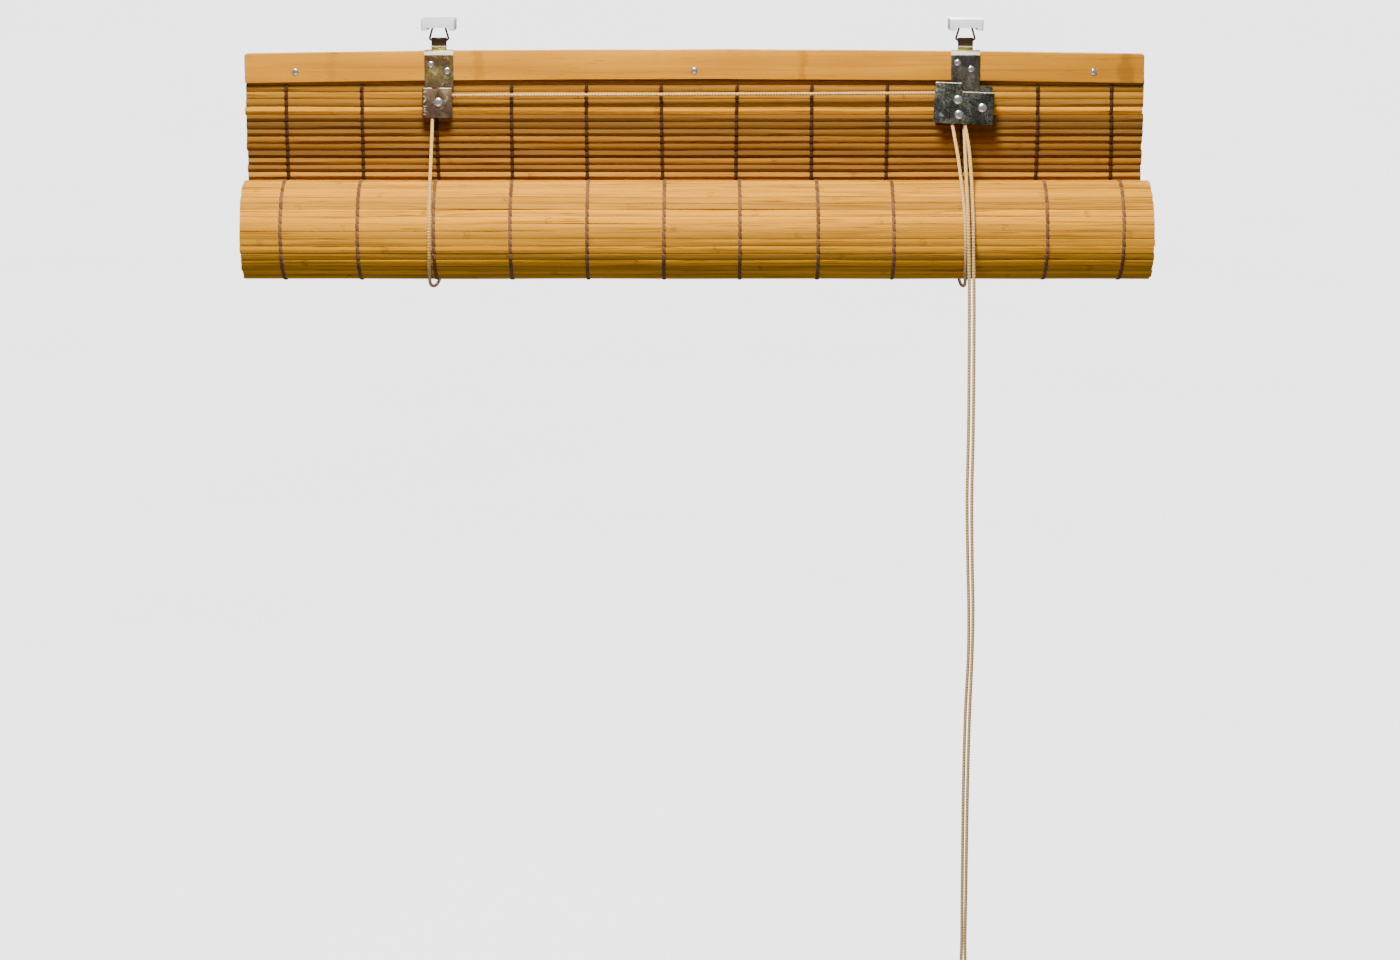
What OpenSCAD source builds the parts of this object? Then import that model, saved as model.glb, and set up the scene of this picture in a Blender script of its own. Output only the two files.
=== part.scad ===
/* [Blind] */
// Width of the blind over its slats
blind_w = 800; // [660:10:1200]
// Distance between the two hooks
hook_span = 468; // [420:2:500]
// How far the middle of the blind lies to the right of the middle between the hooks
blind_shift = -7; // [-15:1:15]

/* [Ceiling caps] */
// Width of a ceiling cap
cap_w = 29.6; // [27:0.1:40]
// Depth of a ceiling cap, front to back
cap_d = 32; // [30:0.5:44]
// Height of a ceiling cap without its feet
cap_h = 7.5; // [7:0.1:12]
// Height of the two feet under a cap
cap_foot_h = 2.5; // [1:0.1:5]
// Width of one foot
cap_foot_w = 5.3; // [3:0.1:6]
// Radius of the upright edges of a cap
cap_edge_r = 1.6; // [0.6:0.1:3]
// Radius of a screw hole in a cap
screw_r = 2.1; // [1.6:0.1:2.4]
// Radius of the countersink of a screw hole
screw_head_r = 3.9; // [3.2:0.1:4.2]
// Distance between the two screw holes of one cap, front to back
screw_spread = 20; // [18:0.5:22]

/* [Hook rings] */
// Thickness of the wire of a hook ring
wire_d = 1.9; // [1.6:0.1:2.1]
// Height of a ring between the middles of its two bars
ring_h = 14.4; // [12:0.1:22]
// Width of a ring at its top bar, between wire middles
ring_top_w = 9.4; // [8.8:0.1:10.4]
// Width of a ring at its lower bar, between wire middles
ring_low_w = 17.6; // [16.8:0.1:18.6]
// Bend radius at the corners of a ring
ring_bend_r = 1.1; // [0.9:0.05:1.2]
// Depth of the ring's top bar below the ceiling
ring_top_drop = 4.8; // [4.4:0.1:5.2]

/* [Brackets] */
// Thickness of the bracket and lock sheet
sheet_t = 1.2; // [0.8:0.1:1.4]
// Width of a bracket's plate
plate_w = 25.6; // [24:0.2:30]
// Width of a bracket's neck and eye
neck_w = 13.6; // [11:0.1:13.8]
// Height from the ring's lower bar down to the top of the bracket's shelf
neck_h = 8.3; // [7:0.1:14]
// Inner bend radius of the sheet
bend_r = 0.8; // [0.5:0.1:1]
// Radius of the plate's corners
plate_corner_r = 1.6; // [0.8:0.1:3]
// Radius of a small rivet head on the brackets
small_head_r = 3; // [2.4:0.1:3.3]
// Radius of a small rivet's shank
small_shank_r = 1.5; // [1:0.1:1.7]

/* [Head battens] */
// Height of the head battens
batten_h = 25.9; // [22:0.1:28]
// Thickness of one head batten
batten_t = 4.8; // [4:0.1:8]
// How far the ends of the head battens droop below their middle
batten_bow = 3.6; // [0:0.1:4.4]
// Radius of the batten's corners
batten_corner_r = 2; // [0.5:0.1:4]
// Distance of the outer batten rivets from the ends of the battens
batten_rivet_inset = 45; // [30:1:60]

/* [Mat] */
// Height of one slat with its gap
slat_pitch = 6.6; // [6:0.1:8]
// Thickness of a slat
slat_t = 1.8; // [1.4:0.1:2]
// Gap between two slats
slat_gap = 0.7; // [0.6:0.05:0.9]
// Thickness of the mat at the bottom of the gap
web_t = 0.6; // [0.4:0.05:0.8]
// How far the mat first bulges forward under the head batten
mat_dip = 1.5; // [0:0.1:1.8]
// Number of binding threads
thread_count = 12; // [8:1:14]
// Distance of the first binding thread from the left end of the slats
thread_left = 36.4; // [25:0.2:60]
// Distance of the last binding thread from the right end of the slats
thread_right = 27.6; // [20:0.2:60]
// Width of a binding thread
thread_w = 1.8; // [1:0.1:3]
// How far a binding thread stands proud of the slats
thread_h = 0.45; // [0.3:0.05:0.6]

/* [Roll] */
// Radius of the roll to the middle of its outer turn
roll_r = 44; // [42:0.5:48]
// Distance between two turns of the roll
roll_step = 3.2; // [3:0.05:3.6]
// Radius of the innermost full turn
roll_core_r = 21; // [20.5:0.1:23]
// How far the roll is out of round, as a share of its radius
roll_oval = 0.05; // [0:0.01:0.07]
// Distance of the roll's middle in front of the mat
roll_front = 38; // [36:0.5:44]
// Height of the roll's middle below the ceiling
roll_drop = 183.4; // [170:0.2:200]
// How far the roll sits to the right of the hanging mat
roll_shift = 2.4; // [0:0.1:4]
// Width of a bottom batten
low_batten_h = 24; // [20:0.5:25]
// Thickness of a bottom batten
low_batten_t = 4.6; // [3:0.1:4.8]

/* [Pulley] */
// Radius at which the cord's middle runs round a pulley or roller
run_r = 5.7; // [5.5:0.05:5.9]
// Outer radius of the pulley
pulley_r = 7.2; // [6.4:0.1:7.6]
// Width of the pulley
pulley_w = 5; // [4.8:0.1:5.4]
// Side play of the pulley and rollers between their plates
side_play = 0.4; // [0.2:0.05:0.6]
// Radius of an axle
axle_r = 2; // [1.6:0.1:2.4]
// Radius of an axle's domed head
axle_head_r = 4.1; // [3.4:0.1:4.3]
// Height of the pulley's axle below the batten's shelf
pulley_drop = 44.7; // [44.5:0.05:44.9]

/* [Cord lock] */
// Width of a lock roller
roller_w = 7.8; // [7.4:0.1:8.4]
// Thickness of a roller's flange
flange_t = 0.5; // [0.4:0.05:0.6]
// Outer radius of a roller's flange
flange_r = 6.2; // [5.6:0.1:6.3]
// Width of the cam
cam_w = 7; // [6:0.1:7.6]
// Reach of the cam's teeth from its axle
cam_reach = 13; // [12:0.05:13.1]
// Number of teeth on the cam
cam_teeth = 7; // [4:1:8]
// Depth of a cam tooth
tooth_h = 0.9; // [0.5:0.1:1.2]
// Tilt of the lock's front plate in degrees
lock_tilt = 2.4; // [0:0.1:3]

/* [Cords] */
// Thickness of the cord
cord_d = 3; // [2.4:0.1:3]
// Width of the hank
hank_w = 36; // [34:0.5:44]
// Depth of the hank
hank_d = 26; // [25:0.5:34]
// Length of the straight runs in the hank
hank_run = 56; // [50:1:60]
// Height of the tie round the hank
tie_h = 9; // [5:0.5:20]
// Thickness of the tie
tie_t = 1.4; // [0.8:0.1:3]

/* [Hidden] */

eps = 0.01;
hinge_play = 0.05;
fit_play = 0.1;
soft_play = 0.3;

// Places of the two hooks and of the blind's middle along X
left_x = -hook_span / 2;
right_x = hook_span / 2;
mid_x = blind_shift;
roll_x = mid_x + roll_shift;

// Heights from the ceiling downwards
ring_top_z = -ring_top_drop;
hook_z = ring_top_z - ring_h;
shelf_top_z = hook_z - neck_h;
shelf_z = shelf_top_z - sheet_t;
near_hook_x = hook_span / 2 - abs(blind_shift) - plate_w / 2;
batten_top_z = shelf_z - fit_play + batten_bow * pow(2 * near_hook_x / blind_w, 2);

// Depths, with the mat at zero and the viewer at minus Y
batten_in_y = slat_t / 2;
batten_out_y = batten_in_y + batten_t;
plate_y = -batten_out_y;
plate_front_y = plate_y - sheet_t;
pulley_gap = pulley_w + 2 * side_play;
lock_gap = roller_w + 2 * side_play;
pulley_y = plate_front_y - pulley_gap / 2;
lock_y = plate_front_y - lock_gap / 2;

// Outline of the pulley housing, measured from the left hook
housing_left = -14.7;
housing_right = 11.6;
housing_drop = 32;
housing_h = 26.6;
housing_notch = [[-6.6, 1], [-5.6, -1.1], [0.2, -1.1], [1.2, 1]];
housing_foot_r = 3;
pulley_off = -0.5;
housing_top_z = shelf_z - housing_drop;
housing_low_z = housing_top_z - housing_h;
pulley_x = left_x + pulley_off;
pulley_z = shelf_z - pulley_drop;

// Outline of the lock, measured from the right hook
lock_left = -28.6;
lock_right = 24.4;
lock_step_x = -4.2;
lock_drop = 27.2;
lock_h = 36.4;
lock_step_h = 7.6;
lock_back_step_h = 4;
lock_back_inset = 1.4;
lock_back_lift = 0.6;
lock_fold_inset = 3;
lock_top_z = shelf_z - lock_drop;
lock_shoulder_z = lock_top_z - lock_step_h;
lock_low_z = lock_top_z - lock_h;
back_shoulder_z = lock_top_z - lock_back_step_h;

// Axles of the lock as [x from the right hook, height below the top of the front plate]
upper_axle = [-7.1, 15];
lower_axle = [-6.1, 28.2];
cam_axle = [14.6, 22.2];
upper_x = right_x + upper_axle[0];
upper_z = lock_top_z - upper_axle[1];
lower_x = right_x + lower_axle[0];
lower_z = lock_top_z - lower_axle[1];
cam_x = right_x + cam_axle[0];
cam_z = lock_top_z - cam_axle[1];
groove_r = run_r - cord_d / 2 - soft_play;

// Small rivets of the brackets as [x from the hook, height below the shelf]
left_rivets = [[-7.2, 11.6], [7.2, 17.4]];
right_rivets = [[-7.1, 10.2], [5.0, 15.8]];

// Rivets of the head battens as [x from their middle, height below the shelf]
batten_rivet_x = blind_w / 2 - batten_rivet_inset;
batten_rivets = [[-batten_rivet_x, 18.4], [0, 17.2], [batten_rivet_x, 18.4]];

// Points of an arc from angle a to angle b, seen with the first axis to the right
function arc(c, r, a, b, n) = [for (i = [0:n]) c + r * [cos(a + (b - a) * i / n), sin(a + (b - a) * i / n)]];
function unit(v) = v / norm(v);
function smooth(u) = let (w = min(1, max(0, u))) w * w * (3 - 2 * w);

// Height of the bowed top edge of a head batten at distance x from its middle
function bow_z(x) = batten_top_z - batten_bow * pow(2 * x / blind_w, 2);

// Bounds of the slats in the hanging stretch, as points [y, z]
mat_top_inset = 1.6;
bulge_start = 0.22;
bulge_share = 0.5;
dip_turn = 330;
hang_top_z = bow_z(blind_w / 2) - mat_top_inset;
roll_y = -roll_front;
roll_z = -roll_drop;
hang_free_z = bow_z(blind_w / 2) - batten_h;
hang_count = round((hang_top_z - roll_z) / slat_pitch);
function hang_y(z) = let (u = (hang_free_z - z) / (hang_free_z - roll_z))
  u < 0 ? 0
  : (roll_y + roll_r) * smooth((u - bulge_start) / bulge_share)
    - mat_dip * pow(sin(min(180, dip_turn * u)), 2);
hang_bounds = [for (i = [0:hang_count])
  let (z = hang_top_z + (roll_z - hang_top_z) * i / hang_count) [hang_y(z), z]];

// First slat that hangs free of the battens, and the place of binding thread k along X
first_free = ceil((hang_top_z - hang_free_z) / slat_pitch);
thread_pitch = (blind_w - thread_left - thread_right) / (thread_count - 1);
function thread_x(k) = mid_x - blind_w / 2 + thread_left + k * thread_pitch;

// The roll winds from its back down, forward, up and inwards; a is the angle wound
core_turn = 110;
core_end_r = roll_core_r - 3.4;
oval_turn = 135;
wound = (roll_r - roll_core_r) / roll_step * 360;
function even_r(a) = a < wound ? roll_r - roll_step * a / 360
  : roll_core_r - (roll_core_r - core_end_r) * pow((a - wound) / core_turn, 3);
function oval(a) = let (share = max(0, (even_r(a) - roll_core_r) / (roll_r - roll_core_r)))
  1 + roll_oval * share * cos(2 * (a - oval_turn));
function roll_radius(a) = even_r(a) * oval(a);
function roll_point(a) = [roll_y + roll_radius(a) * cos(a), roll_z - roll_radius(a) * sin(a)];
function wind(a) = a > wound + core_turn ? [] :
  concat([a], wind(a + slat_pitch / roll_radius(a) * 180 / PI));
roll_angles = wind(0);
turn_bounds = [for (a = roll_angles) roll_point(a)];

// The mat ends in a straight chord of slats between the two bottom battens, after one slat that eases it in
function turned(v, a) = [v[0] * cos(a) - v[1] * sin(a), v[0] * sin(a) + v[1] * cos(a)];
chord_off = 8;
ease_turn = -34;
turn_end = turn_bounds[len(turn_bounds) - 1];
chord_start = turn_end + slat_pitch * turned(unit(turn_end - turn_bounds[len(turn_bounds) - 2]), ease_turn);
chord_arm = chord_start - [roll_y, roll_z];
chord_half = sqrt(pow(norm(chord_arm), 2) - pow(chord_off, 2));
chord_out = turned(unit(chord_arm), -acos(chord_off / norm(chord_arm)));
chord_along = turned(chord_out, -90);
chord_mid = [roll_y, roll_z] + chord_off * chord_out;
chord_count = round(2 * chord_half / slat_pitch);
chord_bounds = [for (i = [0:chord_count]) chord_start + chord_along * 2 * chord_half * i / chord_count];

bounds = concat(hang_bounds, [for (i = [1:len(turn_bounds) - 1]) turn_bounds[i]], chord_bounds);

// Outline of the slats from bound i to bound j, as a ridged strip with a notch between slats
function slat_dir(i) = unit(bounds[i + 1] - bounds[i]);
function left_of(v) = [-v[1], v[0]];
function notch_dir(i) = i == 0 ? slat_dir(0) : i == len(bounds) - 1 ? slat_dir(i - 1)
  : unit(slat_dir(i - 1) + slat_dir(i));
function notch(i, side) = bounds[i] + side * web_t / 2 * left_of(notch_dir(i));
function kink(i) = i == 0 || i >= len(bounds) - 1 ? 0 : acos(min(1, slat_dir(i) * slat_dir(i - 1)));
notch_play = 0.12;
function inset(i) = max(slat_gap / 2, slat_t / 2 * tan(kink(i) / 2) + notch_play);
function face(i, side) = side * slat_t / 2 * left_of(slat_dir(i));
function shoulder_a(i, side) = bounds[i] + inset(i) * slat_dir(i) + face(i, side);
function shoulder_b(i, side) = bounds[i + 1] - inset(i + 1) * slat_dir(i) + face(i, side);
function slat_side(i, j, side) = concat(
  [for (k = [i:j - 1]) each [notch(k, side), shoulder_a(k, side), shoulder_b(k, side)]],
  [notch(j, side)]);
function backwards(list) = [for (i = [len(list) - 1:-1:0]) list[i]];
function slat_outline(i, j) = concat(slat_side(i, j, 1), backwards(slat_side(i, j, -1)));

// Outline of a thread that lies over the slats from i to j on one side
function over(i, side, lift) = [for (p = [shoulder_a(i, side), shoulder_b(i, side)])
  p + side * lift * left_of(slat_dir(i))];
function thread_outline(i, j, side) = concat(
  [for (k = [i:j - 1]) each over(k, side, 0)],
  backwards([for (k = [i:j - 1]) each over(k, side, thread_h)]));

// Section points [y, z] drawn out along X from x0 to x1
module along_x(points, x0, x1) {
  translate([x0, 0, 0]) rotate([90, 0, 90]) linear_extrude(height = x1 - x0) polygon(points);
}

// Front view points [x, z] drawn out from y0 back to y1
module along_y(points, y0, y1) {
  translate([0, y1, 0]) rotate([90, 0, 0]) linear_extrude(height = y1 - y0) polygon(points);
}

// Round bar or hole along X, Y
module bar_x(r, x0, x1, y, z) {
  translate([x0, y, z]) rotate([0, 90, 0]) cylinder(r = r, h = x1 - x0, $fn = 48);
}
module bar_y(r, x, z, y0, y1) {
  translate([x, y0, z]) rotate([-90, 0, 0]) cylinder(r = r, h = y1 - y0, $fn = 48);
}

// Rectangle with round corners as points
function round_rect(x0, y0, x1, y1, r, n = 4) = concat(
  arc([x1 - r, y1 - r], r, 0, 90, n), arc([x0 + r, y1 - r], r, 90, 180, n),
  arc([x0 + r, y0 + r], r, 180, 270, n), arc([x1 - r, y0 + r], r, 270, 360, n));

// Ceiling cap: a moulded block with two feet, a pocket for the ring and two screw holes
pocket_play = 0.5;
pocket_top_half = 1.4;
pocket_low_half = 4.2;
module cap(x) {
  pocket_in = ring_half()[1][0] - 0.7;
  pocket_out = ring_low_w / 2 - 0.6;
  pocket_top = ring_top_z + wire_d / 2 + pocket_play;
  difference() {
    translate([x, 0, -cap_h - cap_foot_h]) linear_extrude(height = cap_h + cap_foot_h)
      polygon(round_rect(-cap_w / 2, -cap_d / 2, cap_w / 2, cap_d / 2, cap_edge_r));
    translate([x - cap_w / 2 + cap_foot_w, -cap_d, -cap_h - cap_foot_h - 1])
      cube([cap_w - 2 * cap_foot_w, 2 * cap_d, cap_foot_h + 1]);
    for (side = [-1, 1]) {
      along_x([
        [-pocket_top_half, pocket_top], [pocket_top_half, pocket_top],
        [pocket_low_half, -cap_h - 1], [-pocket_low_half, -cap_h - 1]
      ], x + (side < 0 ? -pocket_out : pocket_in), x + (side < 0 ? -pocket_in : pocket_out));
      translate([x, side * screw_spread / 2, -cap_h - 1]) cylinder(r = screw_r, h = cap_h + 2, $fn = 48);
      translate([x, side * screw_spread / 2, -cap_h - eps])
        cylinder(r1 = screw_head_r, r2 = screw_r, h = screw_head_r - screw_r, $fn = 48);
    }
    bar_x(wire_d / 2 + hinge_play, x - pocket_in - 1, x + pocket_in + 1, 0, ring_top_z);
  }
}

// Points [x, z] of the right half of a ring, from the middle of its top bar to the middle of its lower bar
function ring_half() = let (
    flare = atan((ring_low_w - ring_top_w) / 2 / ring_h),
    top_cut = ring_bend_r * tan((90 - flare) / 2),
    low_cut = ring_bend_r * tan((90 + flare) / 2)
  ) concat(
    [[0, ring_top_z]],
    arc([ring_top_w / 2 - top_cut, ring_top_z - ring_bend_r], ring_bend_r, 90, flare, 3),
    arc([ring_low_w / 2 - low_cut, hook_z + ring_bend_r], ring_bend_r, flare, -90, 4),
    [[0, hook_z]]
  );

// Closed ring of bent wire: a narrow top bar, two slanting sides and a wide lower bar
corner_swell = 1.1;
bar_lap = 0.2;
module ring(x) {
  half = ring_half();
  r = wire_d / 2;
  last = len(half) - 1;
  side_start = 4;
  bar_x(r, x - half[1][0] - bar_lap, x + half[1][0] + bar_lap, 0, ring_top_z);
  bar_x(r, x - half[last - 1][0] - bar_lap, x + half[last - 1][0] + bar_lap, 0, hook_z);
  for (side = [-1, 1]) {
    for (i = [2:last - 2])
      translate([x + side * half[i][0], 0, half[i][1]]) sphere(r = r * corner_swell, $fn = 32);
    run = half[side_start + 1] - half[side_start];
    translate([x + side * half[side_start][0], 0, half[side_start][1]])
      rotate([0, side * acos(run[1] / norm(run)), 0]) cylinder(r = r, h = norm(run), $fn = 48);
  }
}

// Folded strip of a bracket, side view [y, z]: neck, shelf over the batten, plate down to low_z
function strip(low_z) = let (
    eye_out = wire_d / 2 + hinge_play + sheet_t,
    outer_r = bend_r + sheet_t,
    neck_y = -eye_out
  ) concat(
    arc([neck_y - bend_r, shelf_top_z + bend_r], bend_r, 0, -90, 4),
    arc([plate_front_y + outer_r, shelf_top_z - outer_r], outer_r, 90, 180, 5),
    [[plate_front_y, low_z], [plate_y, low_z]],
    arc([plate_y + bend_r, shelf_z - bend_r], bend_r, 180, 90, 4),
    arc([neck_y + sheet_t - outer_r, shelf_z + outer_r], outer_r, -90, 0, 5),
    [[neck_y + sheet_t, hook_z], [neck_y, hook_z]]
  );

// Plan of a bracket: full width over the plate, drawn in to the neck across the shelf
neck_back_y = 6;
waist_y = plate_y / 2 - 0.6;
function bracket_plan(x) = [
  [x - plate_w / 2, plate_front_y - 1], [x + plate_w / 2, plate_front_y - 1],
  [x + plate_w / 2, plate_y - 0.2], [x + neck_w / 2, waist_y], [x + neck_w / 2, neck_back_y],
  [x - neck_w / 2, neck_back_y], [x - neck_w / 2, waist_y], [x - plate_w / 2, plate_y - 0.2]
];

// Bracket from its eye to the foot of its plate, without what hangs below the batten
module bracket_body(x, low_z) {
  intersection() {
    along_x(strip(low_z), x - plate_w / 2, x + plate_w / 2);
    translate([0, 0, low_z - 1]) linear_extrude(height = hook_z - low_z + 2) polygon(bracket_plan(x));
  }
  eye(x);
}

// Curled eye round the ring's lower bar, open at its foot
eye_open = 30;
module eye(x) {
  eye_in = wire_d / 2 + hinge_play;
  reach = 2 * (eye_in + sheet_t);
  difference() {
    bar_x(eye_in + sheet_t, x - neck_w / 2, x + neck_w / 2, 0, hook_z);
    bar_x(eye_in, x - neck_w / 2 - 1, x + neck_w / 2 + 1, 0, hook_z);
    along_x([
      [0, hook_z], [reach * sin(eye_open), hook_z - reach * cos(eye_open)],
      [-reach * sin(eye_open), hook_z - reach * cos(eye_open)]
    ], x - neck_w / 2 - 1, x + neck_w / 2 + 1);
  }
}

// Rivet with a domed head in front of head_y and a low tail behind tail_y
dome_share = 0.42;
tail_h = 0.9;
tail_edge = 0.4;
module rivet(x, z, head_r, shank_r, head_y, tail_y) {
  dome_h = head_r * dome_share;
  ball_r = (head_r * head_r + dome_h * dome_h) / (2 * dome_h);
  half = asin(head_r / ball_r);
  tail_r = shank_r * 1.5;
  back = head_y - tail_y;
  translate([x, head_y, z]) rotate([90, 0, 0]) rotate_extrude($fn = 48) polygon(concat(
    [[0, back - tail_h], [tail_r * 0.8, back - tail_h], [tail_r, back - tail_edge], [tail_r, back],
      [shank_r, back], [shank_r, 0], [head_r, 0]],
    [for (i = [1:6]) ball_r * [sin(half * (1 - i / 6)), cos(half * (1 - i / 6))] - [0, ball_r - dome_h]]
  ));
}

// Holes for rivets given as [x, depth below the shelf]
module rivet_holes(list, x, r, y0, y1) {
  for (p = list) bar_y(r, x + p[0], shelf_z - p[1], y0, y1);
}

module cap_left() {
  color("white") cap(left_x);
}
module cap_right() {
  color("white") cap(right_x);
}
module ring_left() {
  color("dimgray") ring(left_x);
}
module ring_right() {
  color("dimgray") ring(right_x);
}

// Left bracket: the plate runs on below the batten and folds round the pulley
module bracket_left() {
  fold_y = plate_front_y - pulley_gap;
  outer_r = bend_r + sheet_t;
  x0 = left_x + housing_left;
  x1 = left_x + housing_right;
  r = housing_foot_r;
  color("darkkhaki") difference() {
    union() {
      bracket_body(left_x, housing_top_z - 4);
      difference() {
        translate([0, 0, housing_low_z]) linear_extrude(height = housing_h) polygon(concat(
          [[x1, plate_y]],
          arc([x0 + outer_r, plate_y - outer_r], outer_r, 90, 180, 4),
          arc([x0 + outer_r, fold_y - sheet_t + outer_r], outer_r, 180, 270, 4),
          [[x1, fold_y - sheet_t], [x1, fold_y]],
          arc([x0 + outer_r, fold_y + bend_r], bend_r, 270, 180, 4),
          arc([x0 + outer_r, plate_front_y - bend_r], bend_r, 180, 90, 4),
          [[x1, plate_front_y]]
        ));
        along_y([for (p = housing_notch) [left_x, housing_top_z] + p], fold_y - sheet_t - 1, fold_y + 1);
        along_y(concat([[x1 + 1, housing_low_z - 1], [x1 + 1, housing_low_z + r]],
          arc([x1 - r, housing_low_z + r], r, 0, -90, 5), [[x1 - r, housing_low_z - 1]]),
          fold_y - sheet_t - 1, plate_y + 1);
      }
    }
    rivet_holes(left_rivets, left_x, small_shank_r + fit_play, plate_front_y - 1, plate_y + 1);
    bar_y(axle_r + hinge_play, pulley_x, pulley_z, fold_y - sheet_t - 1, plate_y + 1);
  }
}
module bracket_left_rivets() {
  color("silver") for (p = left_rivets)
    rivet(left_x + p[0], shelf_z - p[1], small_head_r, small_shank_r, plate_front_y, batten_out_y);
}

// Grooved pulley on the left
module pulley_left() {
  lip_r = cord_d / 2 + soft_play;
  groove = concat([[pulley_r, -lip_r]], arc([run_r, 0], lip_r, 270, 90, 8), [[pulley_r, lip_r]]);
  color("silver") translate([pulley_x, pulley_y, pulley_z]) rotate([90, 0, 0])
    rotate_extrude($fn = 64) polygon(concat(
      [[axle_r + hinge_play, -pulley_w / 2], [pulley_r, -pulley_w / 2]], groove,
      [[pulley_r, pulley_w / 2], [axle_r + hinge_play, pulley_w / 2]]
    ));
}
module pulley_left_axle() {
  color("silver")
    rivet(pulley_x, pulley_z, axle_head_r, axle_r, plate_front_y - pulley_gap - sheet_t, plate_y);
}

// Right bracket: the plate widens below the batten into the back of the lock, with a folded edge
module bracket_right() {
  x0 = right_x + lock_left + lock_back_inset;
  x1 = right_x + lock_right;
  color("darkkhaki") difference() {
    union() {
      bracket_body(right_x, back_shoulder_z - 4);
      along_y(round_rect(x0, lock_low_z + lock_back_lift, x1, back_shoulder_z, plate_corner_r),
        plate_front_y, plate_y);
      translate([x1 - sheet_t, plate_front_y - lock_gap, lock_low_z + lock_fold_inset])
        cube([sheet_t, lock_gap + eps, back_shoulder_z - lock_low_z - 3 * lock_fold_inset]);
    }
    rivet_holes(right_rivets, right_x, small_shank_r + fit_play, plate_front_y - 1, plate_y + 1);
    lock_axle_holes(plate_front_y - 1, plate_y + 1);
  }
}
module bracket_right_rivets() {
  color("silver") for (p = right_rivets)
    rivet(right_x + p[0], shelf_z - p[1], small_head_r, small_shank_r, plate_front_y, batten_out_y);
}
module lock_axle_holes(y0, y1) {
  bar_y(axle_r + hinge_play, upper_x, upper_z, y0, y1);
  bar_y(axle_r + hinge_play, lower_x, lower_z, y0, y1);
  bar_y(axle_r + hinge_play, cam_x, cam_z, y0, y1);
}

// Front plate of the lock, stepped along its top and riveted on a little crooked
module lock_front_plate() {
  y1 = plate_front_y - lock_gap;
  r = plate_corner_r;
  x0 = right_x + lock_left;
  x1 = right_x + lock_right;
  xs = right_x + lock_step_x;
  color("darkkhaki") difference() {
    translate([upper_x, 0, lower_z]) rotate([0, lock_tilt, 0]) translate([-upper_x, 0, -lower_z])
      along_y(concat(
        arc([x0 + r, lock_low_z + r], r, 270, 180, 3), arc([x0 + r, lock_top_z - r], r, 180, 90, 3),
        arc([xs - r, lock_top_z - r], r, 90, 0, 3), [[xs, lock_shoulder_z + 1], [xs + 1, lock_shoulder_z]],
        arc([x1 - r, lock_shoulder_z - r], r, 90, 0, 3), arc([x1 - r, lock_low_z + r], r, 0, -90, 3)
      ), y1 - sheet_t, y1);
    lock_axle_holes(y1 - sheet_t - 1, y1 + 1);
  }
}

// Spool for the two cords, with sloping flanks inside its flanges
flank = 0.3;
module lock_roller(x, z) {
  half = roller_w / 2;
  rim = half - flange_t;
  color("silver") translate([x, lock_y, z]) rotate([90, 0, 0]) rotate_extrude($fn = 64) polygon([
    [axle_r + hinge_play, -half], [flange_r, -half], [flange_r, -rim], [groove_r, flank - rim],
    [groove_r, rim - flank], [flange_r, rim], [flange_r, half], [axle_r + hinge_play, half]
  ]);
}
module lock_axle(x, z) {
  color("silver") rivet(x, z, axle_head_r, axle_r, plate_front_y - lock_gap - sheet_t, plate_y);
}
module lock_roller_upper() {
  lock_roller(upper_x, upper_z);
}
module lock_roller_upper_axle() {
  lock_axle(upper_x, upper_z);
}
module lock_roller_lower() {
  lock_roller(lower_x, lower_z);
}
module lock_roller_lower_axle() {
  lock_axle(lower_x, lower_z);
}

// Toothed cam that grips the cords against the lower roller
cam_hub_wall = 2.6;
cam_first = 176;
cam_toothed = 40;
tooth_crest = 0.65;
function cam_point(r, a) = r * [cos(a), sin(a)];
module lock_cam() {
  hub_r = axle_r + cam_hub_wall;
  root_r = cam_reach - tooth_h;
  step = cam_toothed / cam_teeth;
  color("slategray") difference() {
    translate([cam_x, 0, cam_z]) along_y(concat(
      arc([0, 0], hub_r, -100, 120, 12),
      [for (i = [0:cam_teeth - 1])
        let (a = cam_first + step * i)
        each [cam_point(cam_reach, a), cam_point(root_r, a + step * tooth_crest)]],
      [cam_point(root_r - 0.5, cam_first + cam_toothed + 2)]
    ), lock_y - cam_w / 2, lock_y + cam_w / 2);
    bar_y(axle_r + hinge_play, cam_x, cam_z, lock_y - cam_w, lock_y + cam_w);
  }
}
module lock_cam_axle() {
  lock_axle(cam_x, cam_z);
}

// Head batten, front view [x, z]: a long bowed board with round corners
function batten_outline() = let (w = blind_w / 2, r = batten_corner_r, n = 16) concat(
  [for (i = [0:n]) let (x = (w - r) * (1 - 2 * i / n)) [mid_x + x, bow_z(x)]],
  arc([mid_x - w + r, bow_z(w) - r], r, 105, 180, 3),
  arc([mid_x - w + r, bow_z(w) - batten_h + r], r, 180, 255, 3),
  [for (i = [0:n]) let (x = (w - r) * (2 * i / n - 1)) [mid_x + x, bow_z(x) - batten_h]],
  arc([mid_x + w - r, bow_z(w) - batten_h + r], r, -75, 0, 3),
  arc([mid_x + w - r, bow_z(w) - r], r, 0, 75, 3)
);
module through_holes(y0, y1) {
  rivet_holes(batten_rivets, mid_x, small_shank_r + fit_play, y0, y1);
  rivet_holes(left_rivets, left_x, small_shank_r + fit_play, y0, y1);
  rivet_holes(right_rivets, right_x, small_shank_r + fit_play, y0, y1);
}
module head_batten_front() {
  color("burlywood") difference() {
    along_y(batten_outline(), -batten_out_y, -batten_in_y);
    through_holes(-batten_out_y - 1, -batten_in_y + 1);
  }
}
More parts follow.
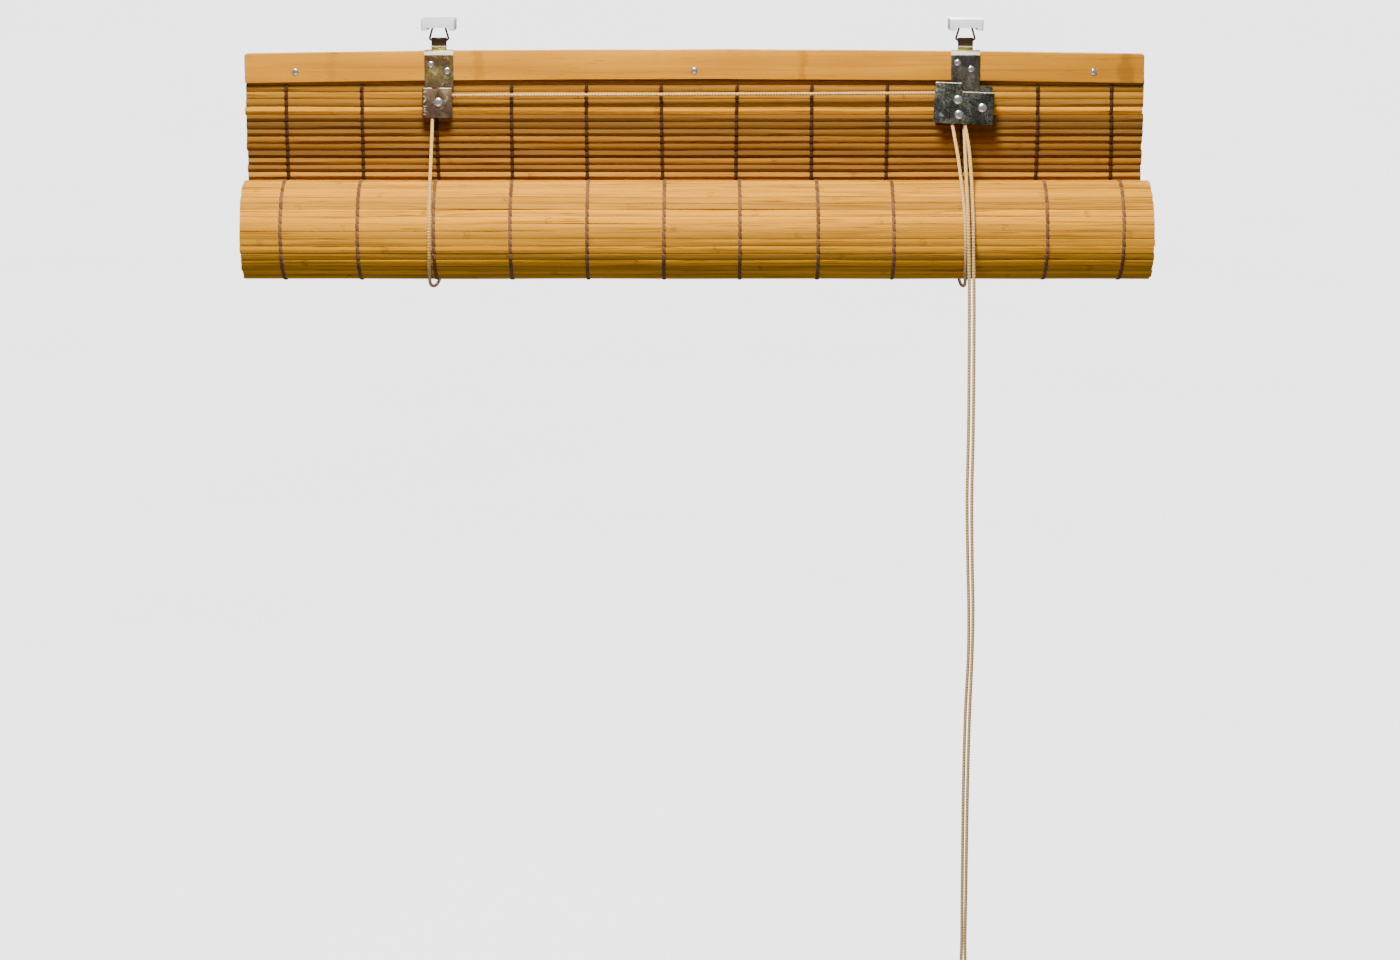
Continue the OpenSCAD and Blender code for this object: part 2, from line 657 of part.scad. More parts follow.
module head_batten_back() {
  color("burlywood") difference() {
    along_y(batten_outline(), batten_in_y, batten_out_y);
    through_holes(batten_in_y - 1, batten_out_y + 1);
    for (p = staples, side = [-1, 1])
      bar_y(staple_r + fit_play, p[0] + side * staple_half, p[1],
        batten_out_y - staple_bite, batten_out_y + 1);
  }
}
module head_batten_rivets() {
  color("silver") for (p = batten_rivets)
    rivet(mid_x + p[0], shelf_z - p[1], small_head_r, small_shank_r, -batten_out_y, batten_out_y);
}

// Gap that opens between two free slats from one binding thread to the next
gap_rows = 10;
gap_margin = 3;
gap_open = 0.34;
gap_corners = [[1, 1], [-1, 1], [-1, -1], [1, -1]];
module slat_gap_cut(i, x0, x1) {
  along = gap_open / 2 * notch_dir(i);
  through = slat_t * left_of(notch_dir(i));
  along_x([for (c = gap_corners) bounds[i] + c[0] * along + c[1] * through], x0, x1);
}

// The mat of slats in two stretches that meet between two slats
module mat_hanging() {
  color("goldenrod") difference() {
    along_x(slat_outline(0, hang_count), mid_x - blind_w / 2, mid_x + blind_w / 2);
    through_holes(-slat_t, slat_t);
    for (i = [1:gap_rows], k = [0:thread_count - 2])
      slat_gap_cut(first_free + i, thread_x(k) + gap_margin, thread_x(k + 1) - gap_margin);
  }
}
module mat_roll() {
  color("goldenrod")
    along_x(slat_outline(hang_count, len(bounds) - 1), roll_x - blind_w / 2, roll_x + blind_w / 2);
}

// Binding threads: bands over the front of the hanging slats and round the roll's outer turn
thread_turn = 352;
outer_turn = len([for (a = roll_angles) if (a < thread_turn) a]);
module threads(i, j, side, shift) {
  color("saddlebrown") for (k = [0:thread_count - 1]) {
    x = thread_x(k) + shift;
    along_x(thread_outline(i, j, side), x - thread_w / 2, x + thread_w / 2);
  }
}
module threads_hanging() {
  threads(first_free, hang_count, -1, 0);
}
module threads_roll() {
  threads(hang_count, hang_count + outer_turn, 1, roll_shift);
}

// Bottom battens on either side of the mat's last slats, at the core of the roll
module low_batten(near, far) {
  mid = chord_mid;
  h = low_batten_h / 2;
  color("burlywood") along_x([
    mid + h * chord_along + near * chord_out, mid + h * chord_along + far * chord_out,
    mid - h * chord_along + far * chord_out, mid - h * chord_along + near * chord_out
  ], roll_x - blind_w / 2, roll_x + blind_w / 2);
}
module bottom_batten_outer() {
  low_batten(slat_t / 2, slat_t / 2 + low_batten_t);
}
module bottom_batten_inner() {
  low_batten(-slat_t / 2 - low_batten_t, -slat_t / 2);
}

// Round tube swept along a list of points, one ring of corners at each
cord_sides = 8;
function along(pts, i) = unit(pts[min(i + 1, len(pts) - 1)] - pts[max(i - 1, 0)]);
function upright(n, t) = unit(n - (n * t) * t);
function ring_normals(pts, i, n) = i >= len(pts) ? [] :
  let (m = upright(n, along(pts, i))) concat([m], ring_normals(pts, i + 1, m));
module tube(pts, r) {
  normals = ring_normals(pts, 0, [0.13, 0.2, 0.11]);
  corners = [for (i = [0:len(pts) - 1], k = [0:cord_sides - 1])
    let (t = along(pts, i), n = normals[i], b = cross(t, n), a = 360 * k / cord_sides)
    pts[i] + r * (cos(a) * n + sin(a) * b)];
  last = (len(pts) - 1) * cord_sides;
  polyhedron(corners, concat(
    [[for (k = [0:cord_sides - 1]) k]],
    [[for (k = [cord_sides - 1:-1:0]) last + k]],
    [for (i = [0:len(pts) - 2], k = [0:cord_sides - 1]) let (m = (k + 1) % cord_sides)
      [i * cord_sides + k, (i + 1) * cord_sides + k, (i + 1) * cord_sides + m]],
    [for (i = [0:len(pts) - 2], k = [0:cord_sides - 1]) let (m = (k + 1) % cord_sides)
      [i * cord_sides + k, (i + 1) * cord_sides + m, i * cord_sides + m]]
  ));
}

// Left lift cord: up the front of the roll, over the pulley, across and through the lock
left_lift_route = [
  [-232, 7.3, -36], [-232, 7.3, -50], [-232, 7.6, -75], [-232, 8.6, -120], [-232, 9.4, -160],
  [-232.5, 9.4, -184], [-233, 4.6, -201], [-234, -6, -215.5], [-235, -20, -226], [-236, -38, -232],
  [-237, -56, -229.5], [-237.5, -72, -218], [-238, -81.8, -201], [-238, -84, -183], [-238.5, -79, -166],
  [-239, -68, -151.5], [-239.4, -40, -119], [-240, -12.5, -90], [-240.2, -10, -82], [-240.2, -10, -73.8],
  [-239.6, -10, -70.8], [-238.2, -10, -69.1], [-236.4, -10, -68.1], [-234.5, -10, -67.7],
  [-215, -10, -67.6], [-100, -9.9, -67.2], [20, -9.7, -66.6], [140, -9.6, -66], [205, -9.5, -65.7],
  [221, -9.5, -65.6], [227, -9.5, -65.2], [229.6, -9.5, -66], [231.4, -9.5, -67.6], [232.5, -9.5, -70.8],
  [232.9, -9.5, -77], [233.4, -9.5, -84], [233.4, -9.5, -90]
];
// Right lift cord: up the front of the roll, over the upper lock roller and down again
right_lift_route = [
  [233, 7.3, -36], [233, 7.3, -50], [232.6, 7.6, -75], [231, 8.6, -120], [229.4, 9.4, -160],
  [228.8, 9.4, -184], [229, 4.6, -201], [230, -6, -215.5], [231.5, -20, -226], [232, -38, -232],
  [231.6, -56, -229.5], [231, -72, -218], [230.4, -81.8, -201], [229.8, -84, -183], [229.2, -79, -166],
  [228.4, -68, -151.5], [225.6, -41, -119.5], [223, -16.4, -98], [222.2, -13.1, -92], [221.9, -12.7, -88],
  [221.4, -12.7, -77], [221.1, -12.7, -70.8], [222, -12.7, -67.4], [224.2, -12.7, -65.4], [227, -12.7, -65],
  [229.8, -12.7, -65.6], [231.8, -12.7, -67.6], [232.6, -12.7, -70.8], [233, -12.7, -77],
  [233.5, -12.7, -84], [233.6, -12.7, -90]
];
// The two free pull cords, from the lock over the front of the roll and down
left_pull_route = [
  [233.4, -9.5, -90], [233.2, -11, -96], [232.6, -28, -112], [232.3, -48, -131], [232.2, -68, -151.5],
  [232.2, -79.4, -167], [232.6, -84.4, -183], [233, -85, -200], [233.8, -85, -240], [234.4, -85, -300],
  [234.6, -85, -360], [234.2, -85.2, -420], [235.4, -85.4, -470], [237, -85.4, -520], [237.2, -85.2, -560],
  [235.4, -85, -610], [234.6, -85, -660], [234.4, -85, -720], [234.6, -85, -780], [234.6, -85, -840],
  [234.8, -85, -880]
];
right_pull_route = [
  [233.6, -12.7, -90], [233.9, -14.4, -95], [235.6, -30.5, -109.5], [236.4, -50.3, -129.6],
  [236.6, -69, -151.5], [236.6, -79.8, -167], [236.8, -84.6, -184], [237, -85, -200],
  [238, -85, -240], [238.6, -85, -300],
  [238.8, -85, -360], [238.4, -85, -420], [239.4, -85.2, -470], [240.8, -85.4, -520], [240.6, -85.2, -560],
  [239.2, -85, -610], [238.4, -85, -660], [238, -85, -720], [238, -85, -780], [238, -85, -840],
  [238, -85, -880]
];
// Wire staples that hold the upper ends of the lift cords on the back of the head batten
staple_r = 0.6;
staple_half = 3;
staple_bite = 3;
staple_drop = 13.3;
staple_y = batten_out_y + cord_d + 0.8;
staples = [for (route = [left_lift_route, right_lift_route]) [route[0][0], shelf_z - staple_drop]];
module cord_staples() {
  color("silver") for (p = staples) {
    for (side = [-1, 1]) {
      leg_x = p[0] + side * staple_half;
      bar_y(staple_r, leg_x, p[1], batten_out_y - staple_bite + fit_play, staple_y);
      translate([leg_x, staple_y, p[1]]) sphere(r = staple_r, $fn = 24);
    }
    bar_x(staple_r, p[0] - staple_half, p[0] + staple_half, staple_y, p[1]);
  }
}

module lift_cord_left() {
  color("tan") tube(left_lift_route, cord_d / 2);
}
module lift_cord_right() {
  color("tan") tube(right_lift_route, cord_d / 2);
}
module pull_cord_left() {
  color("tan") tube(left_pull_route, cord_d / 2);
}
module pull_cord_right() {
  color("tan") tube(right_pull_route, cord_d / 2);
}

// Hank that holds the rest of both pull cords, an upright oval with round ends and its tie
hank_x = 236.4;
hank_y = -85;
hank_drop = 880;
tie_corner_r = 2;
function hank_outline(grow) = let (r = hank_w / 2, low = -hank_drop - hank_run - r) concat(
  arc([hank_x, -hank_drop - r], r + grow, 0, 180, 16),
  arc([hank_x, low], r + grow, 180, 360, 16));
module cord_hank() {
  color("tan") along_y(hank_outline(0), hank_y - hank_d / 2, hank_y + hank_d / 2);
}
module hank_tie() {
  tie_x = hank_w / 2 + tie_t;
  tie_y = hank_d / 2 + tie_t;
  mid_z = -hank_drop - hank_w / 2 - hank_run / 2;
  color("sienna") translate([hank_x, hank_y, mid_z - tie_h / 2])
    linear_extrude(height = tie_h) difference() {
      polygon(round_rect(-tie_x, -tie_y, tie_x, tie_y, tie_corner_r));
      square([hank_w, hank_d], center = true);
    }
}

// Knots at the ends of the two pull cords, just under the hank
knot_r = 3.4;
knot_h = 8;
knot_apart = 0.4;
module cord_end_knots() {
  low_z = -hank_drop - hank_w - hank_run;
  color("tan") for (side = [-1, 1])
    translate([hank_x + side * (knot_r + knot_apart), hank_y, low_z - knot_h])
      rotate_extrude($fn = 32) polygon([
        [0, 0], [cord_d / 2, 0], [knot_r, knot_h * 0.3],
        [knot_r, knot_h * 0.6], [cord_d / 2, knot_h], [0, knot_h]
      ]);
}

cap_left();
cap_right();
ring_left();
ring_right();
bracket_left();
bracket_left_rivets();
pulley_left();
pulley_left_axle();
bracket_right();
bracket_right_rivets();
lock_front_plate();
lock_roller_upper();
lock_roller_upper_axle();
lock_roller_lower();
lock_roller_lower_axle();
lock_cam();
lock_cam_axle();
head_batten_front();
head_batten_back();
head_batten_rivets();
cord_staples();
mat_hanging();
mat_roll();
threads_hanging();
threads_roll();
bottom_batten_outer();
bottom_batten_inner();
lift_cord_left();
lift_cord_right();
pull_cord_left();
pull_cord_right();
cord_hank();
hank_tie();
cord_end_knots();
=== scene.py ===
import math
import random

import bmesh
import bpy
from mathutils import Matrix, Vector


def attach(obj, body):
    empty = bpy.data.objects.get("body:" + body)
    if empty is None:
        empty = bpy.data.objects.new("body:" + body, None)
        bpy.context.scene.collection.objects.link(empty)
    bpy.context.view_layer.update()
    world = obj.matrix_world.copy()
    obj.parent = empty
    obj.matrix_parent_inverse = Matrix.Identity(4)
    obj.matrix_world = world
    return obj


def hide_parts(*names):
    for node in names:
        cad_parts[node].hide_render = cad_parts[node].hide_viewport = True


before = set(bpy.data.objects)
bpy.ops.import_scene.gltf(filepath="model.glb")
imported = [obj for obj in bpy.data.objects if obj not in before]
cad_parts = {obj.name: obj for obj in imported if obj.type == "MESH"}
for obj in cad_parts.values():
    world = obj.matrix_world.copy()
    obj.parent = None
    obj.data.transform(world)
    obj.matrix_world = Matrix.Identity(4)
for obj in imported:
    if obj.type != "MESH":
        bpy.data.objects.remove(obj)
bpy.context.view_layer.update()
mm = 0.001

# Sizes, in millimetres, as in the part's source
BLIND_W = 800
MID_X = -7
ROLL_X = MID_X + 2.4
LEFT_X, RIGHT_X = -234, 234
RING_TOP_Z, HOOK_Z = -4.8, -19.2
SHELF_Z = -28.7
SHELF_GAP, SHELF_OUT = 0.1, 214.2
BATTEN_H, BATTEN_BOW = 25.9, 3.6
BATTEN_TOP_Z = SHELF_Z - SHELF_GAP + BATTEN_BOW * (2 * SHELF_OUT / BLIND_W) ** 2
SLAT_PITCH = 6.6
ROLL_R, ROLL_STEP, ROLL_CORE_R, ROLL_OVAL = 44, 3.2, 21, 0.05
ROLL_Y, ROLL_Z = -38, -183.4
THREADS, THREAD_LEFT, THREAD_RIGHT = 12, 36.4, 27.6
THREAD_PITCH = (BLIND_W - THREAD_LEFT - THREAD_RIGHT) / (THREADS - 1)
CORD_D = 3
HOUSING_TOP_Z = SHELF_Z - 32
LOCK_TILT = math.radians(2.4)

# Camera and light, in metres and degrees
CAMERA_PLACE, CAMERA_DIP = (-0.0020, -3.0, 0.185), 9.70
LENS, SENSOR, LENS_SHIFT = 86.5, 36, -0.07
BLIND_MIDDLE, ROLL_MIDDLE = (0, 0, -0.12), (0, 0, -0.18)
SKY, SKY_STRENGTH = (0.92, 1, 1.08, 1), 0.26
WARM_WHITE, PALE_BLUE = (1, 0.985, 0.96), (0.82, 1, 1.8)


def set_up(name, data):
    """A new object in the scene, at the origin."""
    obj = bpy.data.objects.new(name, data)
    bpy.context.collection.objects.link(obj)
    return obj


def make_camera():
    data = bpy.data.cameras.new("camera")
    data.lens = LENS
    data.sensor_width = SENSOR
    data.shift_y = LENS_SHIFT
    camera = set_up("camera", data)
    camera.location = CAMERA_PLACE
    camera.rotation_euler = (math.radians(90 - CAMERA_DIP), 0, 0)
    bpy.context.scene.camera = camera


def soft_light(name, place, aim, size, watts, colour):
    data = bpy.data.lights.new(name, "AREA")
    data.shape = "DISK"
    data.size = size
    data.energy = watts
    data.color = colour
    lamp = set_up(name, data)
    lamp.location = place
    lamp.rotation_euler = (Vector(aim) - Vector(place)).to_track_quat("-Z", "Y").to_euler()


def make_studio():
    world = bpy.data.worlds.new("studio")
    bpy.context.scene.world = world
    world.use_nodes = True
    sky = world.node_tree.nodes["Background"]
    sky.inputs["Color"].default_value = SKY
    sky.inputs["Strength"].default_value = SKY_STRENGTH
    soft_light("key_light", (-0.16, -0.90, 1.19), BLIND_MIDDLE, size=0.55, watts=74, colour=WARM_WHITE)
    soft_light("back_light", (0.5, 2.3, 0.9), BLIND_MIDDLE, size=1.2, watts=75, colour=WARM_WHITE)
    soft_light("low_light", (-0.1, -1.4, -1.7), ROLL_MIDDLE, size=1.6, watts=8.5, colour=PALE_BLUE)


make_camera()
make_studio()


# Node graphs written as expressions
def maths(operation, swapped=False):
    """A method that adds a Math node for a wire and another value."""
    def method(wire, other):
        a, b = (other, wire) if swapped else (wire, other)
        return wire.graph.func(operation, a, b)
    return method


class Wire:
    """One socket of a node graph, with arithmetic that adds Math nodes."""

    __add__, __radd__ = maths("ADD"), maths("ADD", swapped=True)
    __sub__, __rsub__ = maths("SUBTRACT"), maths("SUBTRACT", swapped=True)
    __mul__, __rmul__ = maths("MULTIPLY"), maths("MULTIPLY", swapped=True)
    __truediv__, __pow__ = maths("DIVIDE"), maths("POWER")
    __lt__, __gt__ = maths("LESS_THAN"), maths("GREATER_THAN")

    def __init__(self, graph, socket):
        self.graph = graph
        self.socket = socket


class Graph:
    """A node tree to which nodes are added one call at a time."""

    def __init__(self, tree):
        self.tree = tree

    def add(self, kind, settings=None, sockets=None, out=0):
        node = self.tree.nodes.new(kind)
        for key, value in (settings or {}).items():
            if key == "stops":
                self._set_stops(node.color_ramp, value)
            else:
                setattr(node, key, value)
        for key, value in (sockets or {}).items():
            if isinstance(value, Wire):
                self.tree.links.new(value.socket, node.inputs[key])
            else:
                node.inputs[key].default_value = value
        return Wire(self, node.outputs[out])

    @staticmethod
    def _set_stops(ramp, stops):
        while len(ramp.elements) < len(stops):
            ramp.elements.new(0.5)
        for element, (place, colour) in zip(ramp.elements, stops):
            element.position = place
            element.color = (*colour, 1)

    def func(self, operation, a, b=0.0):
        return self.add("ShaderNodeMath", {"operation": operation}, {0: a, 1: b})

    def absolute(self, a):
        return self.func("ABSOLUTE", a)

    def smooth(self, a, low, high):
        """A soft step from 0 at low to 1 at high."""
        return self.add("ShaderNodeMapRange", {"interpolation_type": "SMOOTHSTEP"}, {
            0: a, 1: low, 2: high, 3: 0.0, 4: 1.0})

    def split(self, vector):
        node = self.tree.nodes.new("ShaderNodeSeparateXYZ")
        self.tree.links.new(vector.socket, node.inputs[0])
        return [Wire(self, s) for s in node.outputs]

    def join(self, x, y, z):
        return self.add("ShaderNodeCombineXYZ", {}, {0: x, 1: y, 2: z})

    def vector(self, operation, a, b):
        return self.add("ShaderNodeVectorMath", {"operation": operation}, {0: a, 1: b})


# The Mix node's sockets for colours, and the shader's sockets that take varying values
MIX_FACTOR, MIX_A, MIX_B, MIX_RESULT = 0, 6, 7, 2
VARYING = {"color": "Base Color", "roughness": "Roughness", "metallic": "Metallic", "normal": "Normal",
           "glow": "Emission Color"}


class Paint(Graph):
    """A material of one Principled shader, with the places to read patterns from."""

    def __init__(self, name, metallic=0.0, roughness=0.5, specular=0.5):
        self.material = bpy.data.materials.new(name)
        self.material.use_nodes = True
        super().__init__(self.material.node_tree)
        self.shader = self.tree.nodes["Principled BSDF"]
        self.shader.inputs["Metallic"].default_value = metallic
        self.shader.inputs["Roughness"].default_value = roughness
        self.shader.inputs["Specular IOR Level"].default_value = specular

    def mapped(self, vector, scale, at=(0, 0, 0)):
        return self.add("ShaderNodeMapping", {}, {"Vector": vector, "Location": at, "Scale": scale})

    def place(self, scale=(1, 1, 1), at=(0, 0, 0)):
        return self.mapped(self.add("ShaderNodeTexCoord", {}, {}, "Object"), scale, at)

    def attribute(self, name):
        return self.add("ShaderNodeAttribute", {"attribute_name": name}, {}, "Fac")

    def noise(self, vector, scale, detail=2.0, roughness=0.5, distortion=0.0):
        return self.add("ShaderNodeTexNoise", {"noise_dimensions": "3D"}, {
            "Vector": vector, "Scale": scale, "Detail": detail,
            "Roughness": roughness, "Distortion": distortion})

    def ramp(self, value, stops):
        return self.add("ShaderNodeValToRGB", {"stops": stops}, {0: value})

    def mix(self, factor, a, b):
        colours = {MIX_FACTOR: factor, MIX_A: opaque(a), MIX_B: opaque(b)}
        return self.add("ShaderNodeMix", {"data_type": "RGBA"}, colours, MIX_RESULT)

    def bump(self, height, strength, distance):
        return self.add("ShaderNodeBump", {}, {"Height": height, "Strength": strength, "Distance": distance})

    def finish(self, **wires):
        for key, wire in wires.items():
            self.tree.links.new(wire.socket, self.shader.inputs[VARYING[key]])
        return self.material


def opaque(colour):
    return colour if isinstance(colour, Wire) else (*colour, 1)


class Growth(Graph):
    """A Geometry Nodes tree with named inputs."""

    def __init__(self, name, inputs):
        super().__init__(bpy.data.node_groups.new(name, "GeometryNodeTree"))
        face = self.tree.interface
        face.new_socket("Geometry", in_out="INPUT", socket_type="NodeSocketGeometry")
        face.new_socket("Geometry", in_out="OUTPUT", socket_type="NodeSocketGeometry")
        kinds = {float: "NodeSocketFloat", int: "NodeSocketInt"}
        for label, value in inputs.items():
            kind = kinds.get(type(value), "NodeSocketMaterial")
            socket = face.new_socket(label, in_out="INPUT", socket_type=kind)
            if kind != "NodeSocketMaterial":
                socket.default_value = value
        self.defaults = dict(inputs)
        self.entry = self.tree.nodes.new("NodeGroupInput")
        self.exit = self.tree.nodes.new("NodeGroupOutput")

    def input(self, label):
        return Wire(self, self.entry.outputs[label])

    def position(self):
        return self.split(self.add("GeometryNodeInputPosition"))

    def named(self, name):
        return self.add("GeometryNodeInputNamedAttribute", {"data_type": "FLOAT"}, {"Name": name})

    def store(self, instances, name, value):
        return self.add("GeometryNodeStoreNamedAttribute", {"data_type": "FLOAT", "domain": "INSTANCE"}, {
            "Geometry": instances, "Name": name, "Value": value})

    def shaped(self, geometry, position):
        return self.add("GeometryNodeSetPosition", {}, {"Geometry": geometry, "Position": position})

    def rod(self, sides, radius, depth, pieces=1):
        """A capped cylinder along Z."""
        return self.add("GeometryNodeMeshCylinder", {"fill_type": "NGON"}, {
            "Vertices": sides, "Side Segments": pieces, "Radius": radius, "Depth": depth})

    def ball(self, sides, rings):
        return self.add("GeometryNodeMeshUVSphere", {}, {"Segments": sides, "Rings": rings, "Radius": 1.0})

    def planted(self, instance, **sockets):
        """The instance on every point that comes in."""
        points = {"Points": self.input("Geometry"), "Instance": instance}
        return self.add("GeometryNodeInstanceOnPoints", {}, {**points, **sockets})

    def close(self, geometry, material):
        real = self.add("GeometryNodeRealizeInstances", {}, {"Geometry": geometry})
        done = self.add("GeometryNodeSetMaterial", {}, {"Geometry": real, "Material": material})
        self.tree.links.new(done.socket, self.exit.inputs[0])

    def grow(self, name, points, values):
        """A plain mesh made by the tree from points, each with its own attributes."""
        mesh = bpy.data.meshes.new(name + "_points")
        mesh.from_pydata([p["at"] for p in points], [], [])
        for key in points[0]:
            if key != "at":
                layer = mesh.attributes.new(key, "FLOAT", "POINT")
                layer.data.foreach_set("value", [float(p[key]) for p in points])
        seedbed = set_up(name, mesh)
        modifier = seedbed.modifiers.new("grow", "NODES")
        modifier.node_group = self.tree
        parts = self.tree.interface.items_tree
        ids = {s.name: s.identifier for s in parts if s.item_type == "SOCKET" and s.in_out == "INPUT"}
        for label, value in {**self.defaults, **values}.items():
            modifier[ids[label]] = value
        settle(seedbed, modifier)
        bpy.data.meshes.remove(mesh)
        seedbed.data.name = name
        return seedbed


def settle(obj, modifier):
    """Make what the modifier shows the object's own mesh."""
    bpy.context.view_layer.update()
    graph = bpy.context.evaluated_depsgraph_get()
    shown = obj.evaluated_get(graph)
    result = bpy.data.meshes.new_from_object(shown, preserve_all_data_layers=True, depsgraph=graph)
    obj.modifiers.remove(modifier)
    obj.data = result


# Finishes, with the darker node bands across the head battens as (place, half width, depth), in metres
BATTEN_JOINTS = ((0.0899, 0.005, 0.34), (-0.1998, 0.008, 0.30), (0.377, 0.010, 0.46), (-0.33, 0.005, 0.16))
SLAT_JOINTS_APART = 0.29
# Heights at which a bracket's sheet changes: foot of the eye, fold, top of the shelf, bend into the plate
EYE_FOOT_Z, FOLD_Z, SHELF_TOP_Z, BEND_Z = -23.9, -25.2, -28.4, -30.2
# Worn nicks along the pulley housing's left edge, and how far they reach
NICKS_X, NICKS_HALF, NICKS_APART = LEFT_X - 12.4, 1.3, 4.1
NICKS_TOP_Z, NICKS_LOW_Z = SHELF_Z - 34, SHELF_Z - 56
# The lock's front plate: dimple, lower left corner, step, and its two top edges' heights over the corner
DIMPLE_X, DIMPLE_Z, DIMPLE_SHORT, DIMPLE_LONG = 212, -84.2, 1.7, 2.7
CORNER_X, CORNER_Z = RIGHT_X - 7.1, SHELF_Z - 63.6
STEP_X, LEFT_TOP, RIGHT_TOP = 2.9, 35.7, 28.1
# Depths of the fronts: a bracket's plate, the pulley housing, the lock's back plate, front plate and its face
PLATE_Y, HOUSING_Y, LOCK_BACK_Y, LOCK_FRONT_Y, LOCK_FACE_Y = -3, -10, -13.8, -14.0, -14.5
# How far the painted highlight reaches below and above the pulley housing's top edge
RIM_HIGHLIGHT_UNDER, RIM_HIGHLIGHT_OVER = 0.7, 1.5


def batten_bamboo():
    p = Paint("batten_bamboo", roughness=0.5, specular=0.12)
    where = p.place()
    x = p.split(where)[0]
    fibre = p.noise(p.place((5, 420, 420)), 1.0, 3.0, 0.6, 0.4)
    broad = p.noise(p.place((3, 60, 60), (0.4, 0.1, 0)), 1.0, 2.0, 0.5, 0.6)
    patch = p.noise(p.place((5, 12, 12)), 1.0)
    base = p.ramp(broad * 0.55 + patch * 0.45, [
        (0.34, (0.44, 0.165, 0.010)), (0.5, (0.62, 0.252, 0.008)), (0.66, (0.75, 0.325, 0.010))])
    streak = p.smooth(fibre, 0.50, 0.70)
    tone = p.mix(streak * 0.42, base, (0.33, 0.115, 0.006))
    pores = p.noise(p.place((60, 900, 900)), 1.0, 1.0)
    tone = p.mix(p.smooth(pores, 0.66, 0.74) * 0.5, tone, (0.20, 0.070, 0.008))
    # Darker towards the right end: painted shade for the light falling off along the batten
    tone = p.mix(p.smooth(x, 0.05, 0.36) * 0.42, tone, (0.34, 0.125, 0.007))
    joints = 0.0
    for at, width, depth in BATTEN_JOINTS:
        away = p.absolute(x - at + (p.noise(where, 110.0, 3.0) - 0.5) * 0.016)
        joints = joints + (1 - p.smooth(away, width * 0.2, width)) * depth
    tone = p.mix(joints, tone, (0.20, 0.068, 0.006))
    return p.finish(color=tone, roughness=0.50 + fibre * 0.14, normal=p.bump(fibre + broad, 0.12, 0.0006))


def slat_bamboo():
    p = Paint("slat_bamboo", roughness=0.6, specular=0.04)
    where = p.place()
    x = p.split(where)[0]
    # The slat's random tone, with painted light and shade on the hanging slats
    light = p.attribute("slat_shade")
    number = p.attribute("slat_no")
    own = p.vector("ADD", where, p.join(number * 0.37, 0.0, 0.0))
    fibre = p.noise(p.mapped(own, (7, 620, 620)), 1.0, 4.0, 0.7, 0.4)
    broad = p.noise(p.mapped(own, (5, 110, 110)), 1.0)
    base = p.ramp(light * 0.6 + broad * 0.4, [
        (0.0, (0.140, 0.064, 0.012)), (0.25, (0.28, 0.127, 0.017)),
        (0.5, (0.60, 0.255, 0.013)), (0.85, (0.90, 0.360, 0.010))])
    tone = p.mix(p.smooth(fibre, 0.47, 0.64) * 0.66, base, (0.22, 0.086, 0.005))
    dash = p.noise(p.mapped(own, (16, 640, 640), (3, 1, 2)), 1.0)
    tone = p.mix(p.smooth(dash, 0.63, 0.72) * 0.66, tone, (0.11, 0.038, 0.004))
    joint = p.absolute(p.func("FRACT", x / SLAT_JOINTS_APART + number * 0.377) - 0.5)
    speck = p.noise(p.place((320, 900, 900)), 1.0, 1.0)
    spots = (1 - p.smooth(joint, 0.004, 0.016)) * p.smooth(speck, 0.42, 0.6)
    tone = p.mix(spots * 0.5, tone, (0.18, 0.070, 0.008))
    return p.finish(color=tone, roughness=0.6 + fibre * 0.18, normal=p.bump(fibre, 0.45, 0.0006))


def binding_thread():
    p = Paint("binding_thread", roughness=0.75, specular=0.06)
    pale = p.attribute("stitch_pale")
    x, _, z = p.split(p.place())
    ply = p.func("SINE", z * 2600.0 + x * 3200.0)
    # Paler by stitch_pale: painted light, full on the lit roll and low on the shaded front of the hanging mat
    tone = p.mix(pale, (0.028, 0.010, 0.003), (0.23, 0.110, 0.045))
    tone = p.mix(ply * 0.10 + 0.10, tone, (0.13, 0.058, 0.022))
    return p.finish(color=tone, normal=p.bump(ply, 0.4, 0.0003))


def braided_cord(name, light, dark, pitch):
    p = Paint(name, roughness=0.7, specular=0.3)
    uv = p.add("ShaderNodeUVMap", {"uv_map": "cord_wrap"})
    around, run, _ = p.split(uv)
    right = p.func("SINE", (around * 3 + run / pitch) * math.tau)
    left = p.func("SINE", (around * 3 - run / pitch) * math.tau)
    weave = right * left
    fuzz = p.noise(p.place(), 900.0)
    # The braid painted darker in the valleys between its strands and lighter on their crowns: painted shade
    # and painted highlight following the bump
    fill = weave * 0.5 + 0.5
    bright = tuple(min(1, c * 1.18) for c in light)
    tone = p.ramp(fill * 0.75 + fuzz * 0.25, [(0.15, dark), (0.55, light), (0.9, bright)])
    return p.finish(color=tone, normal=p.bump(weave + fuzz * 0.6, 0.6, 0.0005))


